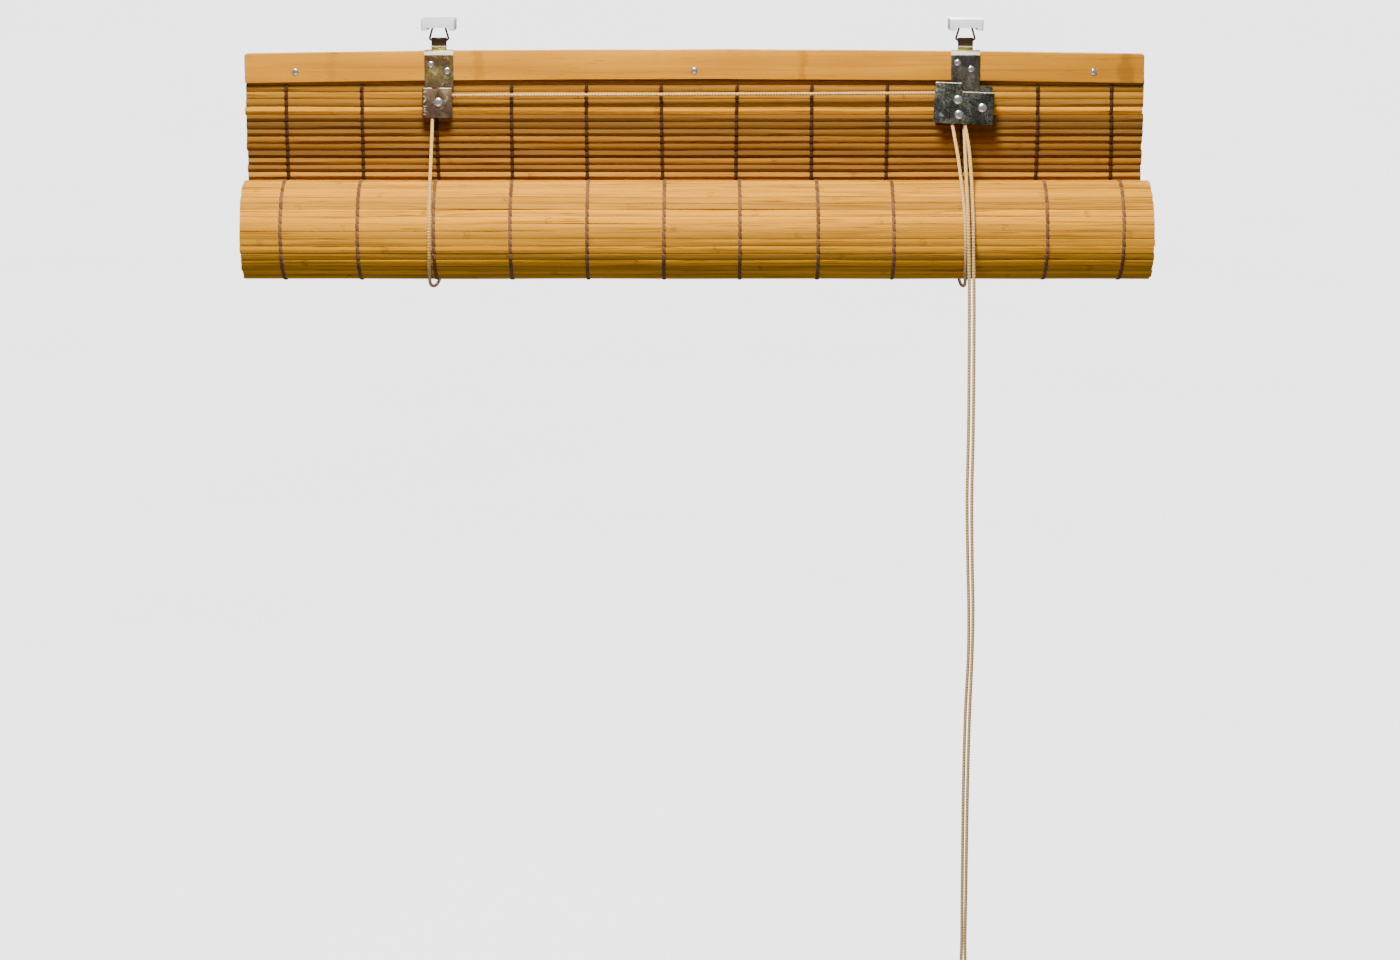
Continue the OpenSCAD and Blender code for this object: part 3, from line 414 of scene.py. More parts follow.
def passivated_plate():
    p = Paint("passivated_plate", metallic=1.0, roughness=0.34)
    x, y, z = p.split(p.place())
    cloud = p.noise(p.place(), 75.0, 3.0, 0.6, 1.2)
    mist = p.noise(p.place(at=(3, 5, 1)), 190.0, 3.0, 0.6, 0.8)
    grit = p.noise(p.place(), 1500.0)
    low = p.smooth(z, (SHELF_Z - 20) * mm, (SHELF_Z - 38) * mm)
    olive = p.ramp(cloud, [
        (0.36, (0.25, 0.105, 0.070)), (0.44, (0.34, 0.19, 0.060)), (0.51, (0.17, 0.17, 0.050)),
        (0.58, (0.38, 0.24, 0.085)), (0.66, (0.26, 0.12, 0.10))])
    plum = p.ramp(cloud, [
        (0.38, (0.25, 0.125, 0.09)), (0.50, (0.16, 0.115, 0.055)), (0.60, (0.29, 0.19, 0.10))])
    tone = p.mix(low, olive, plum)
    tone = p.mix(p.smooth(mist, 0.54, 0.68) * 0.4, tone, (0.66, 0.60, 0.42))
    nick = p.func("FRACT", z / (NICKS_APART * mm) + p.noise(p.place(), 380.0) * 1.6)
    edge = p.absolute(x - NICKS_X * mm) < NICKS_HALF * mm
    edge = edge * (z < NICKS_TOP_Z * mm) * (z > NICKS_LOW_Z * mm)
    scratch = (nick < 0.24) * edge
    tone = p.mix(scratch * 0.75, tone, (0.95, 0.78, 0.70))
    # A painted highlight along the pulley housing's top edge
    rim = (z > (HOUSING_TOP_Z - RIM_HIGHLIGHT_UNDER) * mm) * (z < (HOUSING_TOP_Z + RIM_HIGHLIGHT_OVER) * mm)
    rim = rim * (y < HOUSING_Y * mm)
    tone = p.mix(rim * 0.85, tone, (0.95, 0.88, 0.74))
    # Painted shade and highlights on the bracket's tab, with duller metal under the highlights
    tone, painted_highlight_mask = painted_bend_light_and_shade(p, y, z, tone)
    return p.finish(color=tone, metallic=1 - painted_highlight_mask * 0.85,
                    roughness=0.28 + grit * 0.16 + mist * 0.12 + scratch * 0.25,
                    normal=p.bump(mist + grit * 0.3 + scratch, 0.14, 0.0006))


def speckled_zinc():
    p = Paint("speckled_zinc", metallic=1.0, roughness=0.34)
    x, y, z = p.split(p.place())
    warp = p.noise(p.place(), 520.0, 3.0, 0.6, 0.6)
    worm = p.noise(p.place(at=(1, 2, 3)), 560.0, 2.0, 0.5, 2.4)
    vein = 1 - p.smooth(p.absolute(worm - 0.5), 0.0, 0.05)
    patch = p.noise(p.place(), 70.0)
    tone = p.ramp(patch * 0.5 + warp * 0.5, [
        (0.38, (0.013, 0.013, 0.009)), (0.50, (0.045, 0.045, 0.031)), (0.62, (0.26, 0.25, 0.175))])
    tone = p.mix(vein * 0.57, tone, (0.48, 0.49, 0.41))
    tone = p.mix((y > LOCK_BACK_Y * mm) * 0.45, tone, (0.115, 0.088, 0.062))
    dimple = p.smooth(dimple_away(p, x, z), 0.6, 1.05)
    dimple = (1 - dimple) * (y < LOCK_FRONT_Y * mm)
    # The dimple painted bright: a painted highlight, with its shape from the bump
    tone = p.mix(dimple * 0.8, tone, (0.62, 0.60, 0.47))
    # A painted highlight along the front plate's stepped top edge
    edge = stepped_edge(x, z) * (y < LOCK_FACE_Y * mm)
    tone = p.mix(edge * 0.8, tone, (0.95, 0.93, 0.78))
    # Painted shade and highlights on the bracket's tab, with duller metal under the highlights
    tone, painted_highlight_mask = painted_bend_light_and_shade(p, y, z, tone)
    return p.finish(color=tone, metallic=1 - painted_highlight_mask * 0.85, roughness=0.30 + warp * 0.2 - dimple * 0.1,
                    normal=p.bump(warp + vein * 0.4 - dimple * 3.0, 0.22, 0.0006))


def dimple_away(p, x, z):
    """Distance from the dimple's middle; 1 is the rim of the dimple, an oval that leans at 45 degrees."""
    lean = math.sqrt(0.5)
    across = (x - DIMPLE_X * mm + z - DIMPLE_Z * mm) * lean
    along = (x - DIMPLE_X * mm - z + DIMPLE_Z * mm) * lean
    return p.func("SQRT", (across / (DIMPLE_SHORT * mm)) ** 2.0 + (along / (DIMPLE_LONG * mm)) ** 2.0)


def stepped_edge(x, z):
    """1 along the upper edge of the lock's crooked front plate, left and right of its step."""
    c, s = math.cos(LOCK_TILT), math.sin(LOCK_TILT)
    out, rise = x - CORNER_X * mm, z - CORNER_Z * mm
    across = out * c - rise * s
    up = out * s + rise * c
    left = across < STEP_X * mm
    return left * (up > LEFT_TOP * mm) + (1 - left) * (up > RIGHT_TOP * mm)


def painted_bend_light_and_shade(p, y, z, tone):
    """Painted light and shade on a bracket's tab: its eye painted dark for its shade, a painted highlight on
    the fold under it, its olive shelf and a painted highlight on the bend into its plate, with the mask of
    both highlights, where the metal is made duller.
    """
    # A noisy wobble of the bands' edges
    band_wobble = p.noise(p.place(), 300.0) * 0.0008
    height = z + band_wobble
    # The olive shelf, then a painted highlight on the fold and painted shade on the eye
    tone = p.mix((height > SHELF_TOP_Z * mm) * 0.9, tone, (0.27, 0.225, 0.055))
    tone = p.mix((height > FOLD_Z * mm) * 0.95, tone, (1.0, 0.86, 0.42))
    tone = p.mix((height > EYE_FOOT_Z * mm) * 0.95, tone, (0.14, 0.080, 0.040))
    bend = (1 - p.smooth(p.absolute(height - BEND_Z * mm), 0.0010, 0.0020)) * (y < PLATE_Y * mm)
    painted_highlight_mask = bend + (height > FOLD_Z * mm) * (height < EYE_FOOT_Z * mm)
    return p.mix(bend * 0.9, tone, (1.0, 0.95, 0.70)), painted_highlight_mask


def bright_rivet():
    p = Paint("bright_rivet", metallic=1.0, roughness=0.22)
    grit = p.noise(p.place(), 900.0, 3.0)
    tone = p.ramp(grit, [(0.3, (0.62, 0.60, 0.58)), (0.7, (0.95, 0.93, 0.92))])
    return p.finish(color=tone, roughness=0.18 + grit * 0.2, normal=p.bump(grit, 0.15, 0.0003))


def hook_wire():
    p = Paint("hook_wire", metallic=1.0, roughness=0.3)
    cloud = p.noise(p.place(), 160.0)
    drawn = p.noise(p.place((300, 2500, 2500)), 1.0)
    tone = p.ramp(cloud, [
        (0.35, (0.11, 0.085, 0.06)), (0.52, (0.20, 0.15, 0.11)), (0.68, (0.34, 0.26, 0.18))])
    return p.finish(color=tone, roughness=0.24 + drawn * 0.2, normal=p.bump(drawn, 0.12, 0.0003))


def turned_steel():
    p = Paint("turned_steel", metallic=1.0, roughness=0.32)
    grain = p.noise(p.place((900, 900, 900)), 1.0)
    tone = p.ramp(grain, [(0.3, (0.36, 0.35, 0.32)), (0.7, (0.52, 0.50, 0.46))])
    return p.finish(color=tone, roughness=0.26 + grain * 0.2)


def cap_plastic():
    p = Paint("cap_plastic", roughness=0.38)
    haze = p.noise(p.place(), 90.0)
    grain = p.noise(p.place(), 2200.0)
    tone = p.ramp(haze, [(0.35, (0.75, 0.72, 0.80)), (0.65, (0.79, 0.76, 0.84))])
    return p.finish(color=tone, roughness=0.33 + grain * 0.12, normal=p.bump(grain, 0.08, 0.0002))


def pale_floor():
    """A floor far below the blind, lit from within like a light table."""
    p = Paint("pale_floor", roughness=0.9)
    haze = p.noise(p.place(), 0.6)
    tone = p.ramp(haze, [(0.3, (0.95, 0.95, 0.95)), (0.7, (0.98, 0.98, 0.98))])
    p.shader.inputs["Emission Strength"].default_value = 3.1
    return p.finish(color=tone, glow=tone)


BATTEN = batten_bamboo()
SLAT = slat_bamboo()
THREAD = binding_thread()
CORD = braided_cord("blind_cord", (0.78, 0.485, 0.155), (0.28, 0.145, 0.045), 0.0052)
TIE = braided_cord("tie_cord", (0.40, 0.26, 0.11), (0.13, 0.08, 0.03), 0.002)
PLATE = passivated_plate()
ZINC = speckled_zinc()
RIVET = bright_rivet()
WIRE = hook_wire()
STEEL = turned_steel()
CAP = cap_plastic()


# Shared makers
def new_object(name, verts, faces, material, uvs=None):
    mesh = bpy.data.meshes.new(name)
    mesh.from_pydata([Vector(v) for v in verts], [], faces)
    if uvs:
        layer = mesh.uv_layers.new(name="cord_wrap")
        layer.data.foreach_set("uv", [c for uv in uvs for c in uv])
    mesh.materials.append(material)
    return set_up(name, mesh)


def shade(obj, angle):
    obj.data.shade_smooth()
    obj.data.set_sharp_from_angle(angle=math.radians(angle))


def soften(obj, width, segments, angle):
    modifier = obj.modifiers.new("soften", "BEVEL")
    modifier.width = width * mm
    modifier.segments = segments
    modifier.limit_method = "ANGLE"
    modifier.angle_limit = math.radians(angle)
    settle(obj, modifier)
    shade(obj, 40)


def belongs(obj, body, slot, *nodes):
    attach(obj, body)
    if nodes:
        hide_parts(*nodes)
    return obj


def smooth_path(points, step):
    """A Catmull-Rom curve through the points, cut at about even steps."""
    pts = [Vector(p) for p in points]
    pts = [2 * pts[0] - pts[1]] + pts + [2 * pts[-1] - pts[-2]]
    fine = []
    for i in range(1, len(pts) - 2):
        a, b, c, d = pts[i - 1:i + 3]
        ta, tb, tc = (max((q - p).length, 1e-9) ** 0.5 for p, q in ((a, b), (b, c), (c, d)))
        m1 = (b - a) / ta - (c - a) / (ta + tb) + (c - b) / tb
        m2 = (c - b) / tb - (d - b) / (tb + tc) + (d - c) / tc
        m1, m2 = m1 * tb, m2 * tb
        n = max(2, int((c - b).length / step * 3))
        for k in range(n):
            t = k / n
            fine.append(b * (2 * t ** 3 - 3 * t ** 2 + 1) + m1 * (t ** 3 - 2 * t ** 2 + t)
                        + c * (3 * t ** 2 - 2 * t ** 3) + m2 * (t ** 3 - t ** 2))
    fine.append(pts[-2])
    out, left = [fine[0]], step
    for a, b in zip(fine, fine[1:]):
        gap = (b - a).length
        while gap > 0 and left <= gap:
            out.append(a.lerp(b, left / gap))
            left += step
        left -= gap
    if (out[-1] - fine[-1]).length > step * 0.3:
        out.append(fine[-1])
    return out


def tube(name, path, radius, material, sides=10, closed=False):
    """A round tube along path, in metres, with a UV map of turns around and metres along."""
    n = len(path)
    verts, faces, uvs = [], [], []
    corners = [(math.cos(k * math.tau / sides), math.sin(k * math.tau / sides)) for k in range(sides)]
    normal = Vector((0.13, 0.2, 0.11))
    run = [0.0]
    for a, b in zip(path, path[1:]):
        run.append(run[-1] + (b - a).length)
    for i, p in enumerate(path):
        ahead = path[(i + 1) % n] if closed else path[min(i + 1, n - 1)]
        behind = path[(i - 1) % n] if closed else path[max(i - 1, 0)]
        t = (ahead - behind).normalized()
        normal = (normal - normal.dot(t) * t).normalized()
        side = t.cross(normal)
        verts += [p + radius * (c * normal + s * side) for c, s in corners]
    for i in range(n if closed else n - 1):
        j = (i + 1) % n
        for k in range(sides):
            m = (k + 1) % sides
            faces.append((i * sides + k, i * sides + m, j * sides + m, j * sides + k))
            end = run[j] if j else run[i] + (path[0] - path[-1]).length
            uvs += [(k / sides, run[i]), ((k + 1) / sides, run[i]), ((k + 1) / sides, end), (k / sides, end)]
    if not closed:
        for ring, flip in ((0, True), (n - 1, False)):
            loop = [ring * sides + k for k in range(sides)]
            faces.append(loop[::-1] if flip else loop)
            uvs += [(0.5, run[ring])] * sides
    obj = new_object(name, verts, faces, material, uvs)
    shade(obj, 60)
    return obj


def eased(share):
    """0 at 0 and 1 at 1, with a soft start and end."""
    return share * share * (3 - 2 * share)


def copy_nodes(name, nodes, material, bevel, segments=2):
    """The solids of some CAD nodes as one piece of its own, with softened edges."""
    work = bmesh.new()
    for node in nodes:
        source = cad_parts[node]
        part = bmesh.new()
        part.from_mesh(source.data)
        part.transform(source.matrix_world)
        scratch = bpy.data.meshes.new("scratch")
        part.to_mesh(scratch)
        part.free()
        work.from_mesh(scratch)
        bpy.data.meshes.remove(scratch)
    bmesh.ops.remove_doubles(work, verts=work.verts, dist=2e-6)
    bmesh.ops.dissolve_limit(work, angle_limit=math.radians(1.0), verts=work.verts, edges=work.edges)
    bmesh.ops.recalc_face_normals(work, faces=work.faces)
    mesh = bpy.data.meshes.new(name)
    work.to_mesh(mesh)
    work.free()
    mesh.materials.clear()
    mesh.materials.append(material)
    for face in mesh.polygons:
        face.material_index = 0
    obj = set_up(name, mesh)
    soften(obj, bevel, segments, 30)
    return obj


def repaint(material, *nodes):
    """CAD nodes whose shape is right keep it and get a better finish."""
    for node in nodes:
        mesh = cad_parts[node].data
        mesh.materials.clear()
        mesh.materials.append(material)


# Cords
def route(points):
    return [Vector(p) * mm for p in points]


LEFT_LIFT = [
    (-232, 7.3, -36), (-232, 7.3, -50), (-232, 7.6, -75), (-232, 8.6, -120), (-232, 9.4, -160),
    (-232.5, 9.4, -184), (-233, 4.6, -201), (-233.4, -6, -215.5), (-233.6, -20, -227), (-236, -38, -233.4),
    (-239.6, -56, -231), (-239.8, -72, -218.6), (-239, -81.8, -201), (-238.6, -84, -183), (-238.7, -79, -166),
    (-239, -68, -151.5), (-239.4, -40, -119), (-240, -12.5, -90), (-240.2, -10, -82), (-240.2, -10, -73.8),
    (-239.6, -10, -70.8), (-238.2, -10, -69.1), (-236.4, -10, -68.1), (-234.5, -10, -67.7),
    (-215, -10, -67.6), (-100, -9.9, -67.2), (20, -9.7, -66.6), (140, -9.6, -66), (205, -9.5, -65.7),
    (221, -9.5, -65.6), (227, -9.5, -65.2), (229.6, -9.5, -66), (231.4, -9.5, -67.6), (232.5, -9.5, -70.8),
    (232.9, -9.5, -77), (233.4, -9.5, -84), (233.4, -9.5, -90)]
RIGHT_LIFT = [
    (233, 7.3, -36), (233, 7.3, -50), (232.6, 7.6, -75), (231, 8.6, -120), (229.4, 9.4, -160),
    (228.8, 9.4, -184), (229, 4.6, -201), (228.8, -6, -215.5), (228.8, -20, -227), (230, -38, -233.4),
    (231.8, -56, -231), (231, -72, -218), (230.4, -81.8, -201), (229.8, -84, -183), (229.2, -79, -166),
    (228.4, -68, -151.5), (225.6, -41, -119.5), (223, -16.4, -98), (222.2, -13.1, -92), (221.9, -12.7, -88),
    (221.4, -12.7, -77), (221.1, -12.7, -70.8), (222, -12.7, -67.4), (224.2, -12.7, -65.4), (227, -12.7, -65),
    (229.8, -12.7, -65.6), (231.8, -12.7, -67.6), (232.6, -12.7, -70.8), (233, -12.7, -77),
    (233.5, -12.7, -84), (233.6, -12.7, -90)]
LEFT_PULL = [
    (233.4, -9.5, -90), (233.2, -11, -96), (232.6, -28, -112), (232.3, -48, -131), (232.2, -68, -151.5),
    (232.2, -79.4, -167), (232.6, -84.4, -183), (233, -85, -200), (233.8, -85, -240), (234.4, -85, -300),
    (234.6, -85, -360), (234.2, -85.2, -420), (235.4, -85.4, -470), (237, -85.4, -520), (237.2, -85.2, -560),
    (235.4, -85, -610), (234.6, -85, -660), (234.4, -85, -720), (234.6, -85, -780), (234.6, -85, -840)]
RIGHT_PULL = [
    (233.6, -12.7, -90), (233.9, -14.4, -95), (235.6, -30.5, -109.5), (236.4, -50.3, -129.6),
    (236.6, -69, -151.5), (236.6, -79.8, -167), (236.8, -84.6, -184), (237, -85, -200),
    (238, -85, -240), (238.6, -85, -300),
    (238.8, -85, -360), (238.4, -85, -420), (239.4, -85.2, -470), (240.8, -85.4, -520), (240.6, -85.2, -560),
    (239.2, -85, -610), (238.4, -85, -660), (238, -85, -720), (238, -85, -780), (238, -85, -840)]
# The hank's middle, top, straight run and bend, then its cord's windings, all in millimetres
HANK_X, HANK_Y, HANK_TOP, HANK_RUN, HANK_R = 236.4, -85, -880, 56, 18
WIND_OUT, WIND_IN, LAYER, ROW = 16.3, 7.0, 3.1, 3.15
ROWS, STEPS_A_LAP = 4, 28


def hank_lap(turn, radius):
    """A point (x, z) on an upright racetrack; turn 0 is the top of its left run and it goes down first."""
    top = HANK_TOP - HANK_R
    low = top - HANK_RUN
    bend = math.pi * (WIND_OUT + WIND_IN) / 2
    total = 2 * HANK_RUN + 2 * bend
    s = (turn % 1) * total
    if s < HANK_RUN:
        return -radius, top - s
    s -= HANK_RUN
    if s < bend:
        a = math.pi + s / bend * math.pi
        return radius * math.cos(a), low + radius * math.sin(a)
    s -= bend
    if s < HANK_RUN:
        return radius, low + s
    a = (s - HANK_RUN) / bend * math.pi
    return radius * math.cos(a), top + radius * math.sin(a)


def hank_winding(side):
    """The cord's way into the hank, row by row.

    Side -1 winds from the left in the rear half, side 1 from the right in front.
    """
    laps = (WIND_OUT - WIND_IN) / LAYER
    hold = 0.6
    path = []
    turn = 0.0
    end = ROWS * laps + (ROWS - 1) * hold + 0.45
    while turn < end:
        row, rest = 0, turn
        while rest > laps + hold and row < ROWS - 1:
            rest -= laps + hold
            row += 1
        inward = row % 2 == 0
        share = min(1, rest / laps)
        radius = WIND_OUT - (WIND_OUT - WIND_IN) * (share if inward else 1 - share)
        shift = min(1, max(0, (rest - laps) / hold)) if row < ROWS - 1 else 0
        x, z = hank_lap(turn, radius)
        path.append((HANK_X - side * x, HANK_Y - side * (0.5 + row + eased(shift)) * ROW, z))
        turn += 1 / STEPS_A_LAP
    return path


def knot_path(x, y, z):
    """A small trefoil knot round a point."""
    out = []
    for i in range(49):
        a = math.tau * i / 48
        px = math.sin(a) + 2 * math.sin(2 * a)
        py = -1.5 * math.sin(3 * a)
        pz = math.cos(a) - 2 * math.cos(2 * a)
        out.append(Vector((x + px, y + py, z + pz)) * mm)
    return out


def make_lift_cord(side, points):
    way = smooth_path(route(points), 0.002)
    cord = tube(f"lift_cord_{side}_braid", way, CORD_D / 2 * mm, CORD, 12)
    belongs(cord, "blind", "blind_cord", f"lift_cord_{side}")


def make_pull_cord(side, points):
    """The free end of a cord down to its knot, with side -1 for the left cord and 1 for the right one."""
    word = "left" if side < 0 else "right"
    winding = hank_winding(side)
    lead = [(HANK_X + side * 3.2, HANK_Y - side * 0.4, -866),
            (HANK_X + side * 11.5, HANK_Y - side, -882)]
    last_y = winding[-1][1]
    knot_x = HANK_X + side * 4.2
    tail = [(HANK_X + side * 14.6, last_y * 0.8 + HANK_Y * 0.2, -964),
            (HANK_X + side * 8, last_y * 0.3 + HANK_Y * 0.7, -973), (knot_x, HANK_Y, -980)]
    path = smooth_path(route(points + lead + winding + tail), 0.002)
    cord = tube(f"pull_cord_{word}_braid", path, CORD_D / 2 * mm, CORD, 10)
    belongs(cord, "blind", "blind_cord", f"pull_cord_{word}", "cord_hank")
    knot = tube(f"cord_knot_{word}", knot_path(knot_x, HANK_Y, -981), 1.35 * mm, CORD, 8)
    belongs(knot, "blind", "blind_cord", "cord_end_knots")
    if side < 0:
        make_tie()


def make_tie():
    """A thin cord wound round the middle of the hank."""
    mid = HANK_TOP - HANK_R - HANK_RUN / 2
    wide, deep, tall, turns, steps = 18.9, 14.2, 6.8, 5, 48
    path = []
    for i in range(turns * steps + 1):
        a = math.tau * i / steps
        c, s = math.cos(a), math.sin(a)
        x = math.copysign(abs(c) ** 0.45, c) * wide
        y = math.copysign(abs(s) ** 0.45, s) * deep
        z = mid + tall / 2 - tall * i / (turns * steps)
        path.append(Vector((HANK_X + x, HANK_Y + y, z)) * mm)
    tie = tube("hank_tie_cord", smooth_path(path, 0.0012), 0.75 * mm, TIE, 8)
    return belongs(tie, "blind", "tie_cord", "hank_tie")


make_lift_cord("left", LEFT_LIFT)
make_lift_cord("right", RIGHT_LIFT)
make_pull_cord(-1, LEFT_PULL)
make_pull_cord(1, RIGHT_PULL)


# The way of the mat, slat by slat
def bow_z(x):
    return BATTEN_TOP_Z - BATTEN_BOW * (2 * x / BLIND_W) ** 2


def turned(v, degrees):
    c, s = math.cos(math.radians(degrees)), math.sin(math.radians(degrees))
    return Vector((v[0] * c - v[1] * s, v[0] * s + v[1] * c))


def mat_bounds():
    """Points (y, z) between slats, down the hanging stretch and round the roll, and how many slats hang."""
    tuck, lean_from, lean_over, sag, sag_turn = 1.6, 0.22, 0.5, 1.5, 330
    core_turn, core_shrink, oval_turn, chord_off, ease_turn = 110, 3.4, 135, 8, -34
    top = bow_z(BLIND_W / 2) - tuck
    free = bow_z(BLIND_W / 2) - BATTEN_H
    count = round((top - ROLL_Z) / SLAT_PITCH)

    def hang_y(z):
        u = (free - z) / (free - ROLL_Z)
        if u < 0:
            return 0
        w = min(1, max(0, (u - lean_from) / lean_over))
        return (ROLL_Y + ROLL_R) * eased(w) - sag * math.sin(math.radians(min(180, sag_turn * u))) ** 2

    points = []
    for i in range(count + 1):
        z = top + (ROLL_Z - top) * i / count
        points.append((hang_y(z), z))
    wound = (ROLL_R - ROLL_CORE_R) / ROLL_STEP * 360

    def radius(a):
        if a < wound:
            even = ROLL_R - ROLL_STEP * a / 360
        else:
            even = ROLL_CORE_R - core_shrink * ((a - wound) / core_turn) ** 3
        share = max(0, (even - ROLL_CORE_R) / (ROLL_R - ROLL_CORE_R))
        return even * (1 + ROLL_OVAL * share * math.cos(math.radians(2 * (a - oval_turn))))

    a = 0
    turns = []
    while a <= wound + core_turn:
        r = radius(a)
        turns.append((ROLL_Y + r * math.cos(math.radians(a)), ROLL_Z - r * math.sin(math.radians(a))))
        a += math.degrees(SLAT_PITCH / r)
    points += turns[1:]
    end, before = Vector(turns[-1]), Vector(turns[-2])
    start = end + SLAT_PITCH * turned((end - before).normalized(), ease_turn)
    arm = start - Vector((ROLL_Y, ROLL_Z))
    half = math.sqrt(arm.length ** 2 - chord_off ** 2)
    lean = math.degrees(math.acos(chord_off / arm.length))
    along = turned(turned(arm.normalized(), -lean), -90)
    n = round(2 * half / SLAT_PITCH)
    points += [tuple(start + along * 2 * half * i / n) for i in range(n + 1)]
    return points, count


BOUNDS, HANG_COUNT = mat_bounds()
# Painted light and shade added to each hanging slat's tone, top slat first: lighter on rows 4 to 7, darker on
# rows 8 to 13
HANG_PAINTED_LIGHT_AND_SHADE = (0, 0, 0, 0, 0.36, 0.42, 0.36, 0.24, -0.09, -0.2, -0.25, -0.3,
               -0.26, -0.12, 0.02, 0.1, -0.02, 0.1, 0, 0, 0, 0, 0)
# Slats in the roll's outer turns, slats that its stitches run over, and the first slat with stitches
OUTER_SLATS, STITCHED_SLATS, FIRST_STITCH = 46, 43, 4


def slat_growth():
    g = Growth("slat_rows", {
        "Slat length": 0.8, "Slat height": 0.0061, "Slat thickness": 0.0016, "Crown": 0.0006,
        "Pieces along": 40, "Waviness": 0.0004, "End jitter": 0.0008, "Tilt": 0.05,
        "Darkest": 0.3, "Lightest": 1.0, "Seed": 7, "Finish": SLAT})
    rod = g.rod(12, 1.0, 1.0, g.input("Pieces along"))
    x, y, z = g.position()

    def squared(v, power):
        return g.func("SIGN", v) * g.absolute(v) ** power

    across = squared(x, 0.45)
    through = squared(y, 0.62)
    front = y < 0.0
    high = across * -0.5 * g.input("Slat height")
    swell = (front * -1.3 + 0.3) * g.input("Crown")
    deep = through * 0.5 * g.input("Slat thickness") + swell * (1 - across * across) * g.absolute(through)
    shaped = g.shaped(rod, g.join(z * g.input("Slat length"), deep, high))
    seed = g.input("Seed")

    def chance(low, high, offset):
        sockets = {2: low, 3: high, "Seed": seed + offset}
        return g.add("FunctionNodeRandomValue", {"data_type": "FLOAT"}, sockets, 1)

    number = g.named("slat_number")
    turn = g.named("slat_turn")
    row_painted_light_and_shade = g.named("slat_bias")
    tilt = chance(-1.0, 1.0, 1) * g.input("Tilt")
    size = g.join(1.0, chance(0.85, 1.1, 2), chance(0.97, 1.03, 3))
    grown = g.planted(shaped, Rotation=g.join(turn + tilt, 0.0, 0.0), Scale=size)
    moved = g.add("GeometryNodeTranslateInstances", {}, {
        "Instances": grown, "Translation": g.join(chance(-1.0, 1.0, 4) * g.input("End jitter"), 0.0, 0.0)})
    # A random tone for each slat, plus its row's painted light and shade
    stored = g.store(moved, "slat_shade", chance(g.input("Darkest"), g.input("Lightest"), 5) + row_painted_light_and_shade)
    stored = g.store(stored, "slat_no", number)
    real = g.add("GeometryNodeRealizeInstances", {}, {"Geometry": stored})
    x, y, z = g.position()
    own = g.named("slat_no")
    sway = g.add("ShaderNodeTexNoise", {"noise_dimensions": "3D"}, {
        "Vector": g.join(x * 9.0 + own * 3.71, y * 70.0, z * 70.0), "Scale": 1.0, "Detail": 1.0}, "Color")
    centred = g.vector("SUBTRACT", sway, (0.5, 0.5, 0.5))
    waves = g.input("Waviness") * 2.0
    bent = g.vector("MULTIPLY", centred, g.join(0.0, waves, waves))
    g.close(g.add("GeometryNodeSetPosition", {}, {"Geometry": real, "Offset": bent}), g.input("Finish"))
    return g


def slat_points(first, last):
    middle = ROLL_X if first >= HANG_COUNT else MID_X
    points = []
    for i in range(first, last):
        (y0, z0), (y1, z1) = BOUNDS[i], BOUNDS[i + 1]
        size = math.hypot(y1 - y0, z1 - z0)
        points.append({
            "at": (middle * mm, (y0 + y1) / 2 * mm, (z0 + z1) / 2 * mm), "slat_number": i,
            "slat_turn": math.atan2((y1 - y0) / size, -(z1 - z0) / size),
            # The row's painted light and shade, 0 past the listed rows
            "slat_bias": HANG_PAINTED_LIGHT_AND_SHADE[i] if i < len(HANG_PAINTED_LIGHT_AND_SHADE) else 0})
    return points


def stitch_growth():
    g = Growth("thread_stitches", {
        "Stitch length": 0.0070, "Thread width": 0.0033, "Thread thickness": 0.0011,
        "Height over slat": 0.0017, "Dip in gap": 0.0009, "Slant": 0.00035, "Side": -1.0, "Finish": THREAD})
    rod = g.rod(6, 1.0, 2.0, 6)
    x, y, z = g.position()
    end = g.absolute(z)
    lift = g.input("Height over slat") - g.input("Dip in gap") * end ** 4.0
    thin = 1 - 0.35 * end ** 3.0
    shaped = g.shaped(rod, g.join(
        x * 0.5 * g.input("Thread width") * thin + z * g.input("Slant"),
        g.input("Side") * lift + y * 0.5 * g.input("Thread thickness"),
        z * 0.5 * g.input("Stitch length")))
    grown = g.planted(shaped, Rotation=g.join(g.named("slat_turn"), 0.0, 0.0))
    g.close(g.store(grown, "stitch_pale", g.named("stitch_glow")), g.input("Finish"))
    return g


def stitch_points(first, last, glow, drift=0):
    """A point for each stitch; glow is the painted light that makes the stitches paler, and drift spreads the
    threads out from the fifth one, more at each slat.
    """
    chance = random.Random(11)
    middle = ROLL_X if first >= HANG_COUNT else MID_X
    points = []
    for k in range(THREADS):
        x = middle - BLIND_W / 2 + THREAD_LEFT + k * THREAD_PITCH
        wander = chance.uniform(-1.2, 1.2)
        for n, slat in enumerate(slat_points(first, last)):
            share = (n + 0.5) / (last - first)
            y, z = slat["at"][1:]
            sway = wander * math.sin(share * 3 + k) + (k - 5) * drift * share + chance.uniform(-0.12, 0.12)
            at = ((x + sway) * mm, y, z)
            painted_paleness = glow * chance.uniform(0.5, 1)
            points.append({"at": at, "slat_turn": slat["slat_turn"], "stitch_glow": painted_paleness})
    return points


